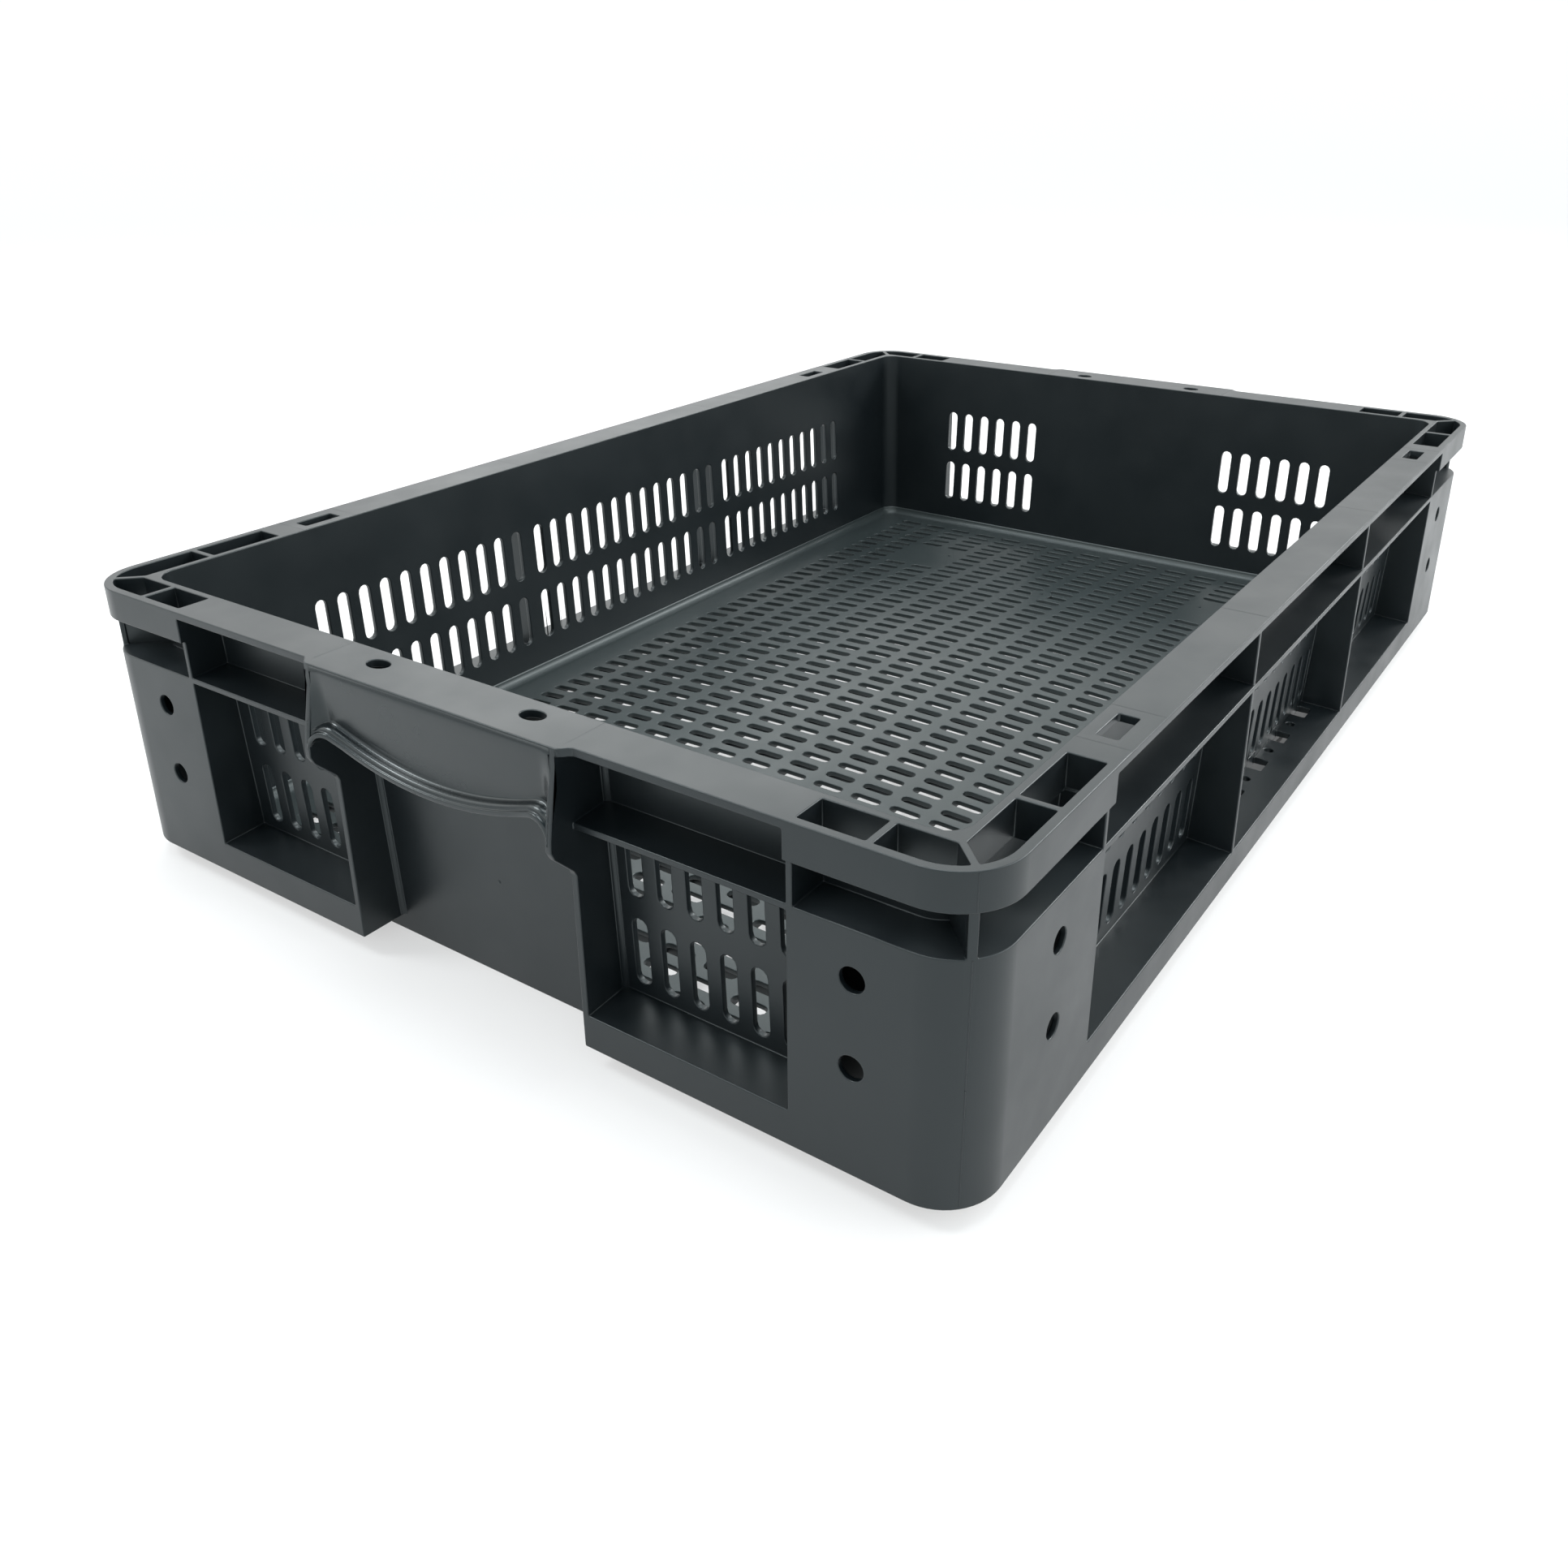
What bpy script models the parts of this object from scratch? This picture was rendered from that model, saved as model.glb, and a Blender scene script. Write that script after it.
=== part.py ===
"""A rigid ventilated stacking crate, 600 x 400 x 120 mm, moulded in one piece from dark grey polypropylene.

Every object below is one named region of the moulding: a wall, a post, a rail, a rib.
X runs along the length, Y along the width and Z up. The origin is on the floor that the crate
stands on, under its centre. Lengths are in metres. Most regions are described once, for the
left (-X) or front (-Y) side, and reflected to the others.
"""

import math

import bmesh
import bpy
from mathutils import Vector

MM = 0.001

# Overall size
LENGTH = 600 * MM
WIDTH = 400 * MM
HEIGHT = 120 * MM
CLEARANCE = 0.3 * MM

# Rim
RIM_X = LENGTH / 2
RIM_Y = WIDTH / 2
RIM_RADIUS = 22 * MM
RIM_WIDTH = 18.6 * MM
FLANGE = 3 * MM
SKIRT = 12.7 * MM
SKIRT_WALL = 3.5 * MM
RIM_RIB = 2.4 * MM
END_POCKET_EDGES = (38.4 * MM, 60 * MM)
SIDE_POCKET_EDGES = (48.4 * MM, 79 * MM)
LID_SLOT = (94.8 * MM, 112.5 * MM)
LID_SLOT_ACROSS = (6.7 * MM, 14 * MM)
OVAL_HOLE = (6.6 * MM, 9.6 * MM)
OVAL_HOLE_X = 10 * MM
OVAL_HOLE_Y = 36 * MM

# Inner walls and floor
WALL = 2.4 * MM
DRAFT = 0.04
INNER_X = 276.5 * MM
INNER_Y = 176.5 * MM
INNER_RADIUS = 9 * MM
FLOOR_TOP = 8 * MM
FLOOR_THICKNESS = 2.4 * MM
CROWN = 9.5 * MM
RIB_PITCH_X = 58.8 * MM
RIB_PITCH_Y = 58.2 * MM
RIB_THICKNESS = 2 * MM
RIB_INSET = 3 * MM

# Vents in the walls
VENT_WIDTH = 6.2 * MM
VENT_PITCH = 12 * MM
VENT_ROWS = ((24.8 * MM, 51.3 * MM), (60 * MM, 86.3 * MM))
END_VENT_FIRST = 67 * MM
END_VENT_COLUMNS = 6
SIDE_VENT_FIRST = 88 * MM
SIDE_VENT_COLUMNS = 11
MIDDLE_VENT_COLUMNS = 13

# Outer structure
SKIN_INSET = 1.7 * MM
SKIN = 2.2 * MM
SKIN_X = RIM_X - SKIN_INSET
SKIN_Y = RIM_Y - SKIN_INSET
SKIN_BOTTOM = 7.2 * MM
POST_TOP = 92.3 * MM
POST_EDGE_Y = 137.3 * MM
POST_EDGE_X = 219.5 * MM
POST_HOLE_RADIUS = 4.15 * MM
POST_HOLE_HEIGHTS = (45.9 * MM, 75.9 * MM)
POST_HOLE_FROM_END = 50.9 * MM
POST_HOLE_FROM_SIDE = 40.9 * MM
GAP_RIB = 3 * MM
LEDGE_TOP = 20.3 * MM
STRINGER_TOP = 92.6 * MM
FIN_X = 79 * MM
FIN_EDGE_INSET = 2.2 * MM
DRAIN_PITCH = 16.5 * MM
DRAIN_BIG = (9.6 * MM, 6.6 * MM)
DRAIN_SMALL_RADIUS = 1.9 * MM

# Handles
CHEEK_Y = (55.4 * MM, 58 * MM)
FASCIA_X = 303 * MM
FASCIA_WALL = 2.4 * MM
LIP_X = 306.3 * MM
LIP_LOW = 86.2 * MM
LIP_RISE = 8.4 * MM
LIP_SHOULDER = 47 * MM
LIP_STATIONS = 24
CHEEK_FRONT = (
    (302.4 * MM, 117 * MM),
    (307.3 * MM, 96 * MM),
    (308.5 * MM, 87 * MM),
    (307.2 * MM, 83.8 * MM),
    (298.3 * MM, 74.6 * MM),
    (298.3 * MM, SKIN_BOTTOM),
)

PLASTIC = (0.075, 0.085, 0.09, 1.0)
ROUGHNESS = 0.42
ARC_STEPS = 5


def inner_x(z):
    """Half length between the inner faces of the end walls at height z."""
    return INNER_X + DRAFT * z


def inner_y(z):
    """Half width between the inner faces of the side walls at height z."""
    return INNER_Y + DRAFT * z


def outer_x(z):
    return inner_x(z) + WALL


def outer_y(z):
    return inner_y(z) + WALL


def crown(x, y):
    """How far the floor bows up at (x, y) above its edges."""
    return CROWN * max(0.0, 1 - (x / INNER_X) ** 2) * max(0.0, 1 - (y / INNER_Y) ** 2)


def clear_scene():
    for item in list(bpy.data.objects):
        bpy.data.objects.remove(item, do_unlink=True)


def material(name):
    made = bpy.data.materials.new(name)
    made.use_nodes = True
    shader = made.node_tree.nodes["Principled BSDF"]
    shader.inputs["Base Color"].default_value = PLASTIC
    shader.inputs["Roughness"].default_value = ROUGHNESS
    shader.inputs["Metallic"].default_value = 0.0
    made.diffuse_color = PLASTIC
    return made


def add_object(name, bm, cutter=False):
    """Makes a mesh object of bm. A cutter stays out of the model."""
    bmesh.ops.recalc_face_normals(bm, faces=bm.faces)
    mesh = bpy.data.meshes.new(name)
    bm.to_mesh(mesh)
    bm.free()
    made = bpy.data.objects.new(name, mesh)
    bpy.context.scene.collection.objects.link(made)
    if cutter:
        made.hide_render = True
        made.display_type = "WIRE"
    else:
        mesh.materials.append(material(name))
        mesh.shade_smooth()
        mesh.set_sharp_from_angle(angle=math.radians(35))
    return made


def boolean(target, tool, operation="DIFFERENCE"):
    step = target.modifiers.new(operation.title(), "BOOLEAN")
    step.operation = operation
    step.solver = "EXACT"
    step.object = tool


def loft(bm, rings):
    """Closed solid through rings of points, all with the same number of points."""
    made = [[bm.verts.new(point) for point in ring] for ring in rings]
    for low, high in zip(made, made[1:]):
        for i in range(len(low)):
            j = (i + 1) % len(low)
            bm.faces.new((low[i], low[j], high[j], high[i]))
    bm.faces.new(made[0])
    bm.faces.new(made[-1])
    return bm


def prism(bm, outline, axis, low, high):
    """Closed prism of a flat outline, from low to high along axis (0, 1 or 2)."""
    def ring(level):
        points = []
        for a, b in outline:
            point = [a, b]
            point.insert(axis, level)
            points.append(point)
        return points
    return loft(bm, [ring(low), ring(high)])


def box(bm, low, high):
    outline = ((low[0], low[1]), (high[0], low[1]), (high[0], high[1]), (low[0], high[1]))
    return prism(bm, outline, 2, low[2], high[2])


def arc(centre, radius, start, end, steps=ARC_STEPS):
    """Points on an arc, with angles in degrees."""
    points = []
    for i in range(steps + 1):
        angle = math.radians(start + (end - start) * i / steps)
        points.append((centre[0] + radius * math.cos(angle), centre[1] + radius * math.sin(angle)))
    return points


def reflect(bm, side_x, side_y):
    """Moves a shape made for the -X, -Y quarter to another one. Each side is -1 or 1."""
    for vert in bm.verts:
        vert.co = Vector((-side_x * vert.co.x, -side_y * vert.co.y, vert.co.z))
    return bm


ENDS = {"left": -1, "right": 1}
SIDES = {"front": -1, "rear": 1}


def corners():
    for side_name, side_y in SIDES.items():
        for end_name, side_x in ENDS.items():
            yield f"{side_name}_{end_name}", side_x, side_y


# Floor and walls

def floor_lines(half, count):
    """Grid lines across the floor, with one where each rounded corner starts."""
    flat = half - INNER_RADIUS
    return [-half] + [flat * (2 * i / count - 1) for i in range(count + 1)] + [half]


def floor_panel():
    """The bowed floor, clear of the walls all round."""
    xs = floor_lines(INNER_X - CLEARANCE, 12)
    ys = floor_lines(INNER_Y - CLEARANCE, 8)
    corner = INNER_RADIUS * (1 - math.sqrt(0.5))
    bm = bmesh.new()
    layers = []
    for level in (FLOOR_TOP - FLOOR_THICKNESS, FLOOR_TOP):
        layer = []
        for i, x in enumerate(xs):
            line = []
            for j, y in enumerate(ys):
                at_corner = i in (0, len(xs) - 1) and j in (0, len(ys) - 1)
                pull = corner if at_corner else 0.0
                point = (x - math.copysign(pull, x), y - math.copysign(pull, y), level + crown(x, y))
                line.append(bm.verts.new(point))
            layer.append(line)
        layers.append(layer)
    columns, rows = len(xs) - 1, len(ys) - 1
    for layer in layers:
        for i in range(columns):
            for j in range(rows):
                bm.faces.new((layer[i][j], layer[i + 1][j], layer[i + 1][j + 1], layer[i][j + 1]))
    low, high = layers
    for i in range(columns):
        for j in (0, rows):
            bm.faces.new((low[i][j], low[i + 1][j], high[i + 1][j], high[i][j]))
    for j in range(rows):
        for i in (0, columns):
            bm.faces.new((low[i][j], low[i][j + 1], high[i][j + 1], high[i][j]))
    add_object("floor_panel", bm)


def strip_edges(pitch, half):
    """Edges of the ribs across one direction: one at each multiple of pitch and one at each end."""
    count = int((half - RIB_THICKNESS) // pitch)
    edges = [-half, -half + RIB_THICKNESS]
    for i in range(-count, count + 1):
        edges += [i * pitch - RIB_THICKNESS / 2, i * pitch + RIB_THICKNESS / 2]
    return edges + [half - RIB_THICKNESS, half]


def underside_ribs():
    """The crossed ribs under the floor. An even cell index in either direction lies in a rib."""
    xs = strip_edges(RIB_PITCH_X, INNER_X - RIB_INSET)
    ys = strip_edges(RIB_PITCH_Y, INNER_Y - RIB_INSET)
    depth = FLOOR_TOP - FLOOR_THICKNESS - CLEARANCE
    bm = bmesh.new()
    low = [[bm.verts.new((x, y, crown(x, y))) for y in ys] for x in xs]
    high = [[bm.verts.new((x, y, crown(x, y) + depth)) for y in ys] for x in xs]

    def solid(i, j):
        inside = 0 <= i < len(xs) - 1 and 0 <= j < len(ys) - 1
        return inside and (i % 2 == 0 or j % 2 == 0)

    for i in range(len(xs) - 1):
        for j in range(len(ys) - 1):
            if not solid(i, j):
                continue
            for layer in (low, high):
                bm.faces.new((layer[i][j], layer[i + 1][j], layer[i + 1][j + 1], layer[i][j + 1]))
            borders = (
                (solid(i - 1, j), (i, j), (i, j + 1)),
                (solid(i + 1, j), (i + 1, j), (i + 1, j + 1)),
                (solid(i, j - 1), (i, j), (i + 1, j)),
                (solid(i, j + 1), (i, j + 1), (i + 1, j + 1)),
            )
            for covered, a, b in borders:
                if not covered:
                    (ai, aj), (bi, bj) = a, b
                    bm.faces.new((low[ai][aj], low[bi][bj], high[bi][bj], high[ai][aj]))
    add_object("underside_ribs", bm)


def wall_solid(along_x, top):
    """A drafted wall on the -X end, or on the -Y side where along_x is set."""
    half = (INNER_X if along_x else INNER_Y) - INNER_RADIUS - CLEARANCE / 2
    bm = bmesh.new()
    rings = []
    for z in (0.0, top):
        reach = half + DRAFT * z
        near, far = (outer_y(z), inner_y(z)) if along_x else (outer_x(z), inner_x(z))
        ring = [(-near, -reach, z), (-near, reach, z), (-far, reach, z), (-far, -reach, z)]
        if along_x:
            ring = [(b, a, c) for a, b, c in ring]
        rings.append(ring)
    return loft(bm, rings)


def vent_columns(along_x):
    if along_x:
        middle = [VENT_PITCH * (i - MIDDLE_VENT_COLUMNS // 2) for i in range(MIDDLE_VENT_COLUMNS)]
        outer = [SIDE_VENT_FIRST + VENT_PITCH * i for i in range(SIDE_VENT_COLUMNS)]
        return middle + outer + [-x for x in outer]
    outer = [END_VENT_FIRST + VENT_PITCH * i for i in range(END_VENT_COLUMNS)]
    return outer + [-y for y in outer]


def wall_cutter(along_x, edge, skirt_bottom):
    """The vents, and the upper corners that the rim's corners fill."""
    bm = bmesh.new()
    depth = (150 * MM, 195 * MM) if along_x else (250 * MM, 295 * MM)
    boxes = []
    for centre in vent_columns(along_x):
        for low, high in VENT_ROWS:
            boxes.append((centre - VENT_WIDTH / 2, centre + VENT_WIDTH / 2, low, high))
    far = LENGTH
    boxes.append((edge, far, skirt_bottom, HEIGHT * 2))
    boxes.append((-far, -edge, skirt_bottom, HEIGHT * 2))
    for start, end, low, high in boxes:
        if along_x:
            box(bm, (start, -depth[1], low), (end, -depth[0], high))
        else:
            box(bm, (-depth[1], start, low), (-depth[0], end, high))
    return bm


def walls():
    top = HEIGHT - FLANGE - CLEARANCE
    skirt_bottom = HEIGHT - SKIRT - CLEARANCE
    for name, side_x in ENDS.items():
        wall = add_object(f"end_wall_{name}", reflect(wall_solid(False, top), side_x, -1))
        cutter = wall_cutter(False, POST_EDGE_Y - CLEARANCE, skirt_bottom)
        tool = add_object(f"end_wall_{name}_cutter", reflect(cutter, side_x, -1), cutter=True)
        boolean(wall, tool)
    for name, side_y in SIDES.items():
        wall = add_object(f"side_wall_{name}", reflect(wall_solid(True, top), -1, side_y))
        cutter = wall_cutter(True, POST_EDGE_X - CLEARANCE, skirt_bottom)
        tool = add_object(f"side_wall_{name}_cutter", reflect(cutter, -1, side_y), cutter=True)
        boolean(wall, tool)


def wall_corners():
    """The rounded inner corners between the walls, up to the rim's corners."""
    for name, side_x, side_y in corners():
        rings = []
        for z in (0.0, HEIGHT - SKIRT - CLEARANCE):
            centre = (-inner_x(z) + INNER_RADIUS, -inner_y(z) + INNER_RADIUS)
            outline = arc(centre, INNER_RADIUS + WALL, 180, 270) + arc(centre, INNER_RADIUS, 270, 180)
            shift = CLEARANCE / 2
            rings.append([(min(x, centre[0] - shift), min(y, centre[1] - shift), z) for x, y in outline])
        bm = bmesh.new()
        add_object(f"wall_corner_{name}", reflect(loft(bm, rings), side_x, side_y))


# Rim

def rim_corner_outline():
    """Plan of the rim's corner: an L with a rounded outside and a rounded inside."""
    centre = (-RIM_X + RIM_RADIUS, -RIM_Y + RIM_RADIUS)
    inner = (-RIM_X + RIM_WIDTH, -RIM_Y + RIM_WIDTH)
    inner_centre = (inner[0] + INNER_RADIUS, inner[1] + INNER_RADIUS)
    outline = [(-RIM_X, -POST_EDGE_Y)]
    outline += arc(centre, RIM_RADIUS, 180, 270)
    outline += [(-POST_EDGE_X, -RIM_Y), (-POST_EDGE_X, inner[1])]
    outline += arc(inner_centre, INNER_RADIUS, 270, 180)
    return outline + [(inner[0], -POST_EDGE_Y)]


def rim_pockets():
    """Cutter for the corner's four open pockets, parted by ribs and one diagonal rib."""
    outer_x_edge = -RIM_X + SKIRT_WALL
    outer_y_edge = -RIM_Y + SKIRT_WALL
    inner_x_edge = -RIM_X + RIM_WIDTH - WALL
    inner_y_edge = -RIM_Y + RIM_WIDTH - WALL
    centre = (-RIM_X + RIM_RADIUS, -RIM_Y + RIM_RADIUS)
    radius = RIM_RADIUS - SKIRT_WALL
    half_rib = RIM_RIB / math.sqrt(2)
    turn = math.degrees(math.asin(half_rib / radius / math.sqrt(2)))
    end_far, end_near = -RIM_Y + END_POCKET_EDGES[1], -RIM_Y + END_POCKET_EDGES[0]
    side_far, side_near = -RIM_X + SIDE_POCKET_EDGES[1], -RIM_X + SIDE_POCKET_EDGES[0]
    diagonal = RIM_X - RIM_Y
    outlines = [
        [(outer_x_edge, end_near), (outer_x_edge, end_far), (inner_x_edge, end_far), (inner_x_edge, end_near)],
        [(side_near, outer_y_edge), (side_far, outer_y_edge), (side_far, inner_y_edge), (side_near, inner_y_edge)],
        arc(centre, radius, 180, 225 - turn)
        + [(inner_x_edge, inner_x_edge + diagonal + half_rib)]
        + [(inner_x_edge, end_near - RIM_RIB), (outer_x_edge, end_near - RIM_RIB)],
        arc(centre, radius, 225 + turn, 270)
        + [(side_near - RIM_RIB, outer_y_edge), (side_near - RIM_RIB, inner_y_edge)]
        + [(inner_y_edge - diagonal + half_rib, inner_y_edge)],
    ]
    bm = bmesh.new()
    for outline in outlines:
        prism(bm, outline, 2, HEIGHT - 2 * SKIRT, HEIGHT + SKIRT)
    return bm


def rim_corners():
    for name, side_x, side_y in corners():
        bm = prism(bmesh.new(), rim_corner_outline(), 2, HEIGHT - SKIRT, HEIGHT)
        corner = add_object(f"rim_corner_{name}", reflect(bm, side_x, side_y))
        tool = add_object(f"rim_corner_{name}_cutter", reflect(rim_pockets(), side_x, side_y), cutter=True)
        boolean(corner, tool)


def oval(centre, half_a, half_b, steps=12):
    points = []
    for i in range(steps):
        angle = 2 * math.pi * i / steps
        points.append((centre[0] + half_a * math.cos(angle), centre[1] + half_b * math.sin(angle)))
    return points


def rim_rails():
    """The flat flanges between the rim's corners. The end rails widen over the handles."""
    low, high = HEIGHT - FLANGE, HEIGHT
    reach = POST_EDGE_Y - CLEARANCE
    inner = -RIM_X + RIM_WIDTH
    for name, side_x in ENDS.items():
        outline = [(-RIM_X, -reach), (-RIM_X, -CHEEK_Y[1]), (-FASCIA_X, -CHEEK_Y[0] + FLANGE)]
        outline += [(x, -y) for x, y in reversed(outline)]
        outline += [(inner, reach), (inner, -reach)]
        bm = prism(bmesh.new(), outline, 2, low, high)
        rail = add_object(f"rim_rail_{name}", reflect(bm, side_x, -1))
        bm = bmesh.new()
        for y in (-OVAL_HOLE_Y, OVAL_HOLE_Y):
            hole = oval((-RIM_X + OVAL_HOLE_X, y), OVAL_HOLE[0] / 2, OVAL_HOLE[1] / 2)
            prism(bm, hole, 2, low - FLANGE, high + FLANGE)
        tool = add_object(f"rim_rail_{name}_cutter", reflect(bm, side_x, -1), cutter=True)
        boolean(rail, tool)
    reach = POST_EDGE_X - CLEARANCE
    for name, side_y in SIDES.items():
        bm = box(bmesh.new(), (-reach, -RIM_Y, low), (reach, -RIM_Y + RIM_WIDTH, high))
        rail = add_object(f"rim_rail_{name}", reflect(bm, -1, side_y))
        bm = bmesh.new()
        for sign in (-1, 1):
            near, far = sign * (RIM_X - LID_SLOT[0]), sign * (RIM_X - LID_SLOT[1])
            start, end = min(near, far), max(near, far)
            box(bm, (start, -RIM_Y + LID_SLOT_ACROSS[0], low - FLANGE),
                (end, -RIM_Y + LID_SLOT_ACROSS[1], high + FLANGE))
        tool = add_object(f"rim_rail_{name}_cutter", reflect(bm, -1, side_y), cutter=True)
        boolean(rail, tool)


# Corner posts

def post_outline(inset, end_inset=0.0):
    """Outer line of a post's L-shaped plan, moved in by inset, and by end_inset at its two ends."""
    radius = RIM_RADIUS - SKIN_INSET
    centre = (-SKIN_X + radius, -SKIN_Y + radius)
    line = [(-SKIN_X + inset, -POST_EDGE_Y - end_inset)]
    line += arc(centre, radius - inset, 180, 270)
    return line + [(-POST_EDGE_X - end_inset, -SKIN_Y + inset)]


def post_solid():
    """The post's full volume, from its outer faces to the drafted walls."""
    rings = []
    for z in (SKIN_BOTTOM, HEIGHT - SKIRT - CLEARANCE):
        wall_x = -outer_x(z) - CLEARANCE
        wall_y = -outer_y(z) - CLEARANCE
        radius = INNER_RADIUS + WALL + CLEARANCE
        ring = post_outline(0) + [(-POST_EDGE_X, wall_y)]
        ring += arc((wall_x + radius, wall_y + radius), radius, 270, 180) + [(wall_x, -POST_EDGE_Y)]
        rings.append([(x, y, z) for x, y in ring])
    return loft(bmesh.new(), rings)


def post_cutter():
    """The hollow under the shelf, and the open gap above it round the gap rib."""
    inner_x_edge = -inner_x(0) + INNER_RADIUS
    inner_y_edge = -inner_y(0) + INNER_RADIUS
    inside = [
        (-POST_EDGE_X - SKIN, inner_y_edge),
        (inner_x_edge, inner_y_edge),
        (inner_x_edge, -POST_EDGE_Y - SKIN),
    ]
    hollow = prism(bmesh.new(), post_outline(SKIN, SKIN) + inside, 2, -SKIN_BOTTOM, POST_TOP - SKIN)

    radius = RIM_RADIUS - SKIN_INSET
    far = 2 * radius
    half = GAP_RIB / 2
    step = 1 / math.sqrt(2)
    notch = []
    for out, across in ((far, -half), (radius - SKIN, -half), (radius - SKIN, half), (far, half)):
        notch.append((-SKIN_X + radius - (out - across) * step, -SKIN_Y + radius - (out + across) * step))
    outline = [(notch[0][0], -POST_EDGE_Y - SKIN)] + notch + [(-POST_EDGE_X - SKIN, notch[-1][1])]
    prism(hollow, outline + inside, 2, POST_TOP, HEIGHT + SKIRT)
    return hollow


def post_holes():
    bm = bmesh.new()
    for z in POST_HOLE_HEIGHTS:
        end_hole = oval((-RIM_Y + POST_HOLE_FROM_SIDE, z), POST_HOLE_RADIUS, POST_HOLE_RADIUS)
        prism(bm, end_hole, 0, -SKIN_X - SKIN, -SKIN_X + SKIN * 3 / 2)
        side_hole = oval((-RIM_X + POST_HOLE_FROM_END, z), POST_HOLE_RADIUS, POST_HOLE_RADIUS)
        prism(bm, side_hole, 1, -SKIN_Y - SKIN, -SKIN_Y + SKIN * 3 / 2)
    return bm


def corner_posts():
    """A post is a skin round the corner, a shelf on top, a plate at each end and a rib in the gap above."""
    for name, side_x, side_y in corners():
        post = add_object(f"corner_post_{name}", reflect(post_solid(), side_x, side_y))
        for part, bm in (("cutter", post_cutter()), ("holes", post_holes())):
            boolean(post, add_object(f"corner_post_{name}_{part}", reflect(bm, side_x, side_y), cutter=True))


# Ledges, stringers and fins between the posts

def shelf_profile(skin, wall_at, top, band_bottom=None):
    """Profile across the wall of a shelf, with an outer band hanging from it where band_bottom is set."""
    low = top - SKIN
    profile = [(-skin, top), (-wall_at(top) - CLEARANCE, top), (-wall_at(low) - CLEARANCE, low)]
    if band_bottom is None:
        return profile + [(-skin, low)]
    return profile + [(-skin + SKIN, low), (-skin + SKIN, band_bottom), (-skin, band_bottom)]


def end_bay():
    """Start and end, along Y, of the open bay between a post and a handle's cheek."""
    return -POST_EDGE_Y + CLEARANCE, -CHEEK_Y[1] - CLEARANCE


def ledges():
    """The bottom ledges. The side ledges have drain holes in the middle bay."""
    profile = shelf_profile(SKIN_X, outer_x, LEDGE_TOP, SKIN_BOTTOM)
    for name, side_x, side_y in corners():
        bm = prism(bmesh.new(), profile, 1, *end_bay())
        add_object(f"end_ledge_{name}", reflect(bm, side_x, side_y))
    profile = shelf_profile(SKIN_Y, outer_y, LEDGE_TOP, SKIN_BOTTOM)
    reach = POST_EDGE_X - CLEARANCE
    for name, side_y in SIDES.items():
        bm = prism(bmesh.new(), profile, 0, -reach, reach)
        ledge = add_object(f"side_ledge_{name}", reflect(bm, -1, side_y))
        bm = bmesh.new()
        y = -SKIN_Y + 2 * SKIN + DRAIN_BIG[0]
        for i in range(-4, 5):
            x = i * DRAIN_PITCH
            if i % 2 == 0:
                box(bm, (x - DRAIN_BIG[0] / 2, y - DRAIN_BIG[1] / 2, LEDGE_TOP - 2 * SKIN),
                    (x + DRAIN_BIG[0] / 2, y + DRAIN_BIG[1] / 2, LEDGE_TOP + SKIN))
            else:
                hole = oval((x, y), DRAIN_SMALL_RADIUS, DRAIN_SMALL_RADIUS, 8)
                prism(bm, hole, 2, LEDGE_TOP - 2 * SKIN, LEDGE_TOP + SKIN)
        tool = add_object(f"side_ledge_{name}_cutter", reflect(bm, -1, side_y), cutter=True)
        boolean(ledge, tool)


def stringers():
    """The horizontal ribs at mid height: one in each bay."""
    profile = shelf_profile(SKIN_X, outer_x, STRINGER_TOP)
    for name, side_x, side_y in corners():
        bm = prism(bmesh.new(), profile, 1, *end_bay())
        add_object(f"end_stringer_{name}", reflect(bm, side_x, side_y))
    profile = shelf_profile(SKIN_Y, outer_y, STRINGER_TOP)
    gap = SKIN / 2 + CLEARANCE
    bays = {
        "left": (-POST_EDGE_X + CLEARANCE, -FIN_X - gap),
        "middle": (-FIN_X + gap, FIN_X - gap),
        "right": (FIN_X + gap, POST_EDGE_X - CLEARANCE),
    }
    for side_name, side_y in SIDES.items():
        for bay_name, (start, end) in bays.items():
            bm = prism(bmesh.new(), profile, 0, start, end)
            add_object(f"side_stringer_{side_name}_{bay_name}", reflect(bm, -1, side_y))


def side_fins():
    """The upright ribs that part the bays of the long sides, from ledge to rim."""
    low, high = LEDGE_TOP + CLEARANCE, HEIGHT - FLANGE - CLEARANCE
    edge = -RIM_Y + FIN_EDGE_INSET
    outline = [(edge, low), (edge, high), (-outer_y(high) - CLEARANCE, high), (-outer_y(low) - CLEARANCE, low)]
    for name, side_x, side_y in corners():
        bm = prism(bmesh.new(), outline, 0, -FIN_X - SKIN / 2, -FIN_X + SKIN / 2)
        add_object(f"side_fin_{name}", reflect(bm, side_x, side_y))


# Handles

def handle_cheeks():
    """The upright plates at each side of a handle, flared towards the user under the rim."""
    top = HEIGHT - FLANGE - CLEARANCE
    outline = [(-x, min(z, top)) for x, z in CHEEK_FRONT]
    outline += [(-outer_x(SKIN_BOTTOM) - CLEARANCE, SKIN_BOTTOM), (-outer_x(top) - CLEARANCE, top)]
    for name, side_x, side_y in corners():
        bm = prism(bmesh.new(), outline, 1, -CHEEK_Y[1], -CHEEK_Y[0])
        add_object(f"handle_cheek_{name}", reflect(bm, side_x, side_y))


def lip_height(y):
    """Height of the handle's lower edge: a shallow bow up to each shoulder, then a round down to the cheek."""
    if abs(y) <= LIP_SHOULDER:
        return LIP_LOW + LIP_RISE * (y / LIP_SHOULDER) ** 2
    radius = CHEEK_Y[0] - LIP_SHOULDER
    fall = math.sqrt(max(0.0, radius ** 2 - (abs(y) - LIP_SHOULDER) ** 2))
    return LIP_LOW + LIP_RISE - radius + fall


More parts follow.
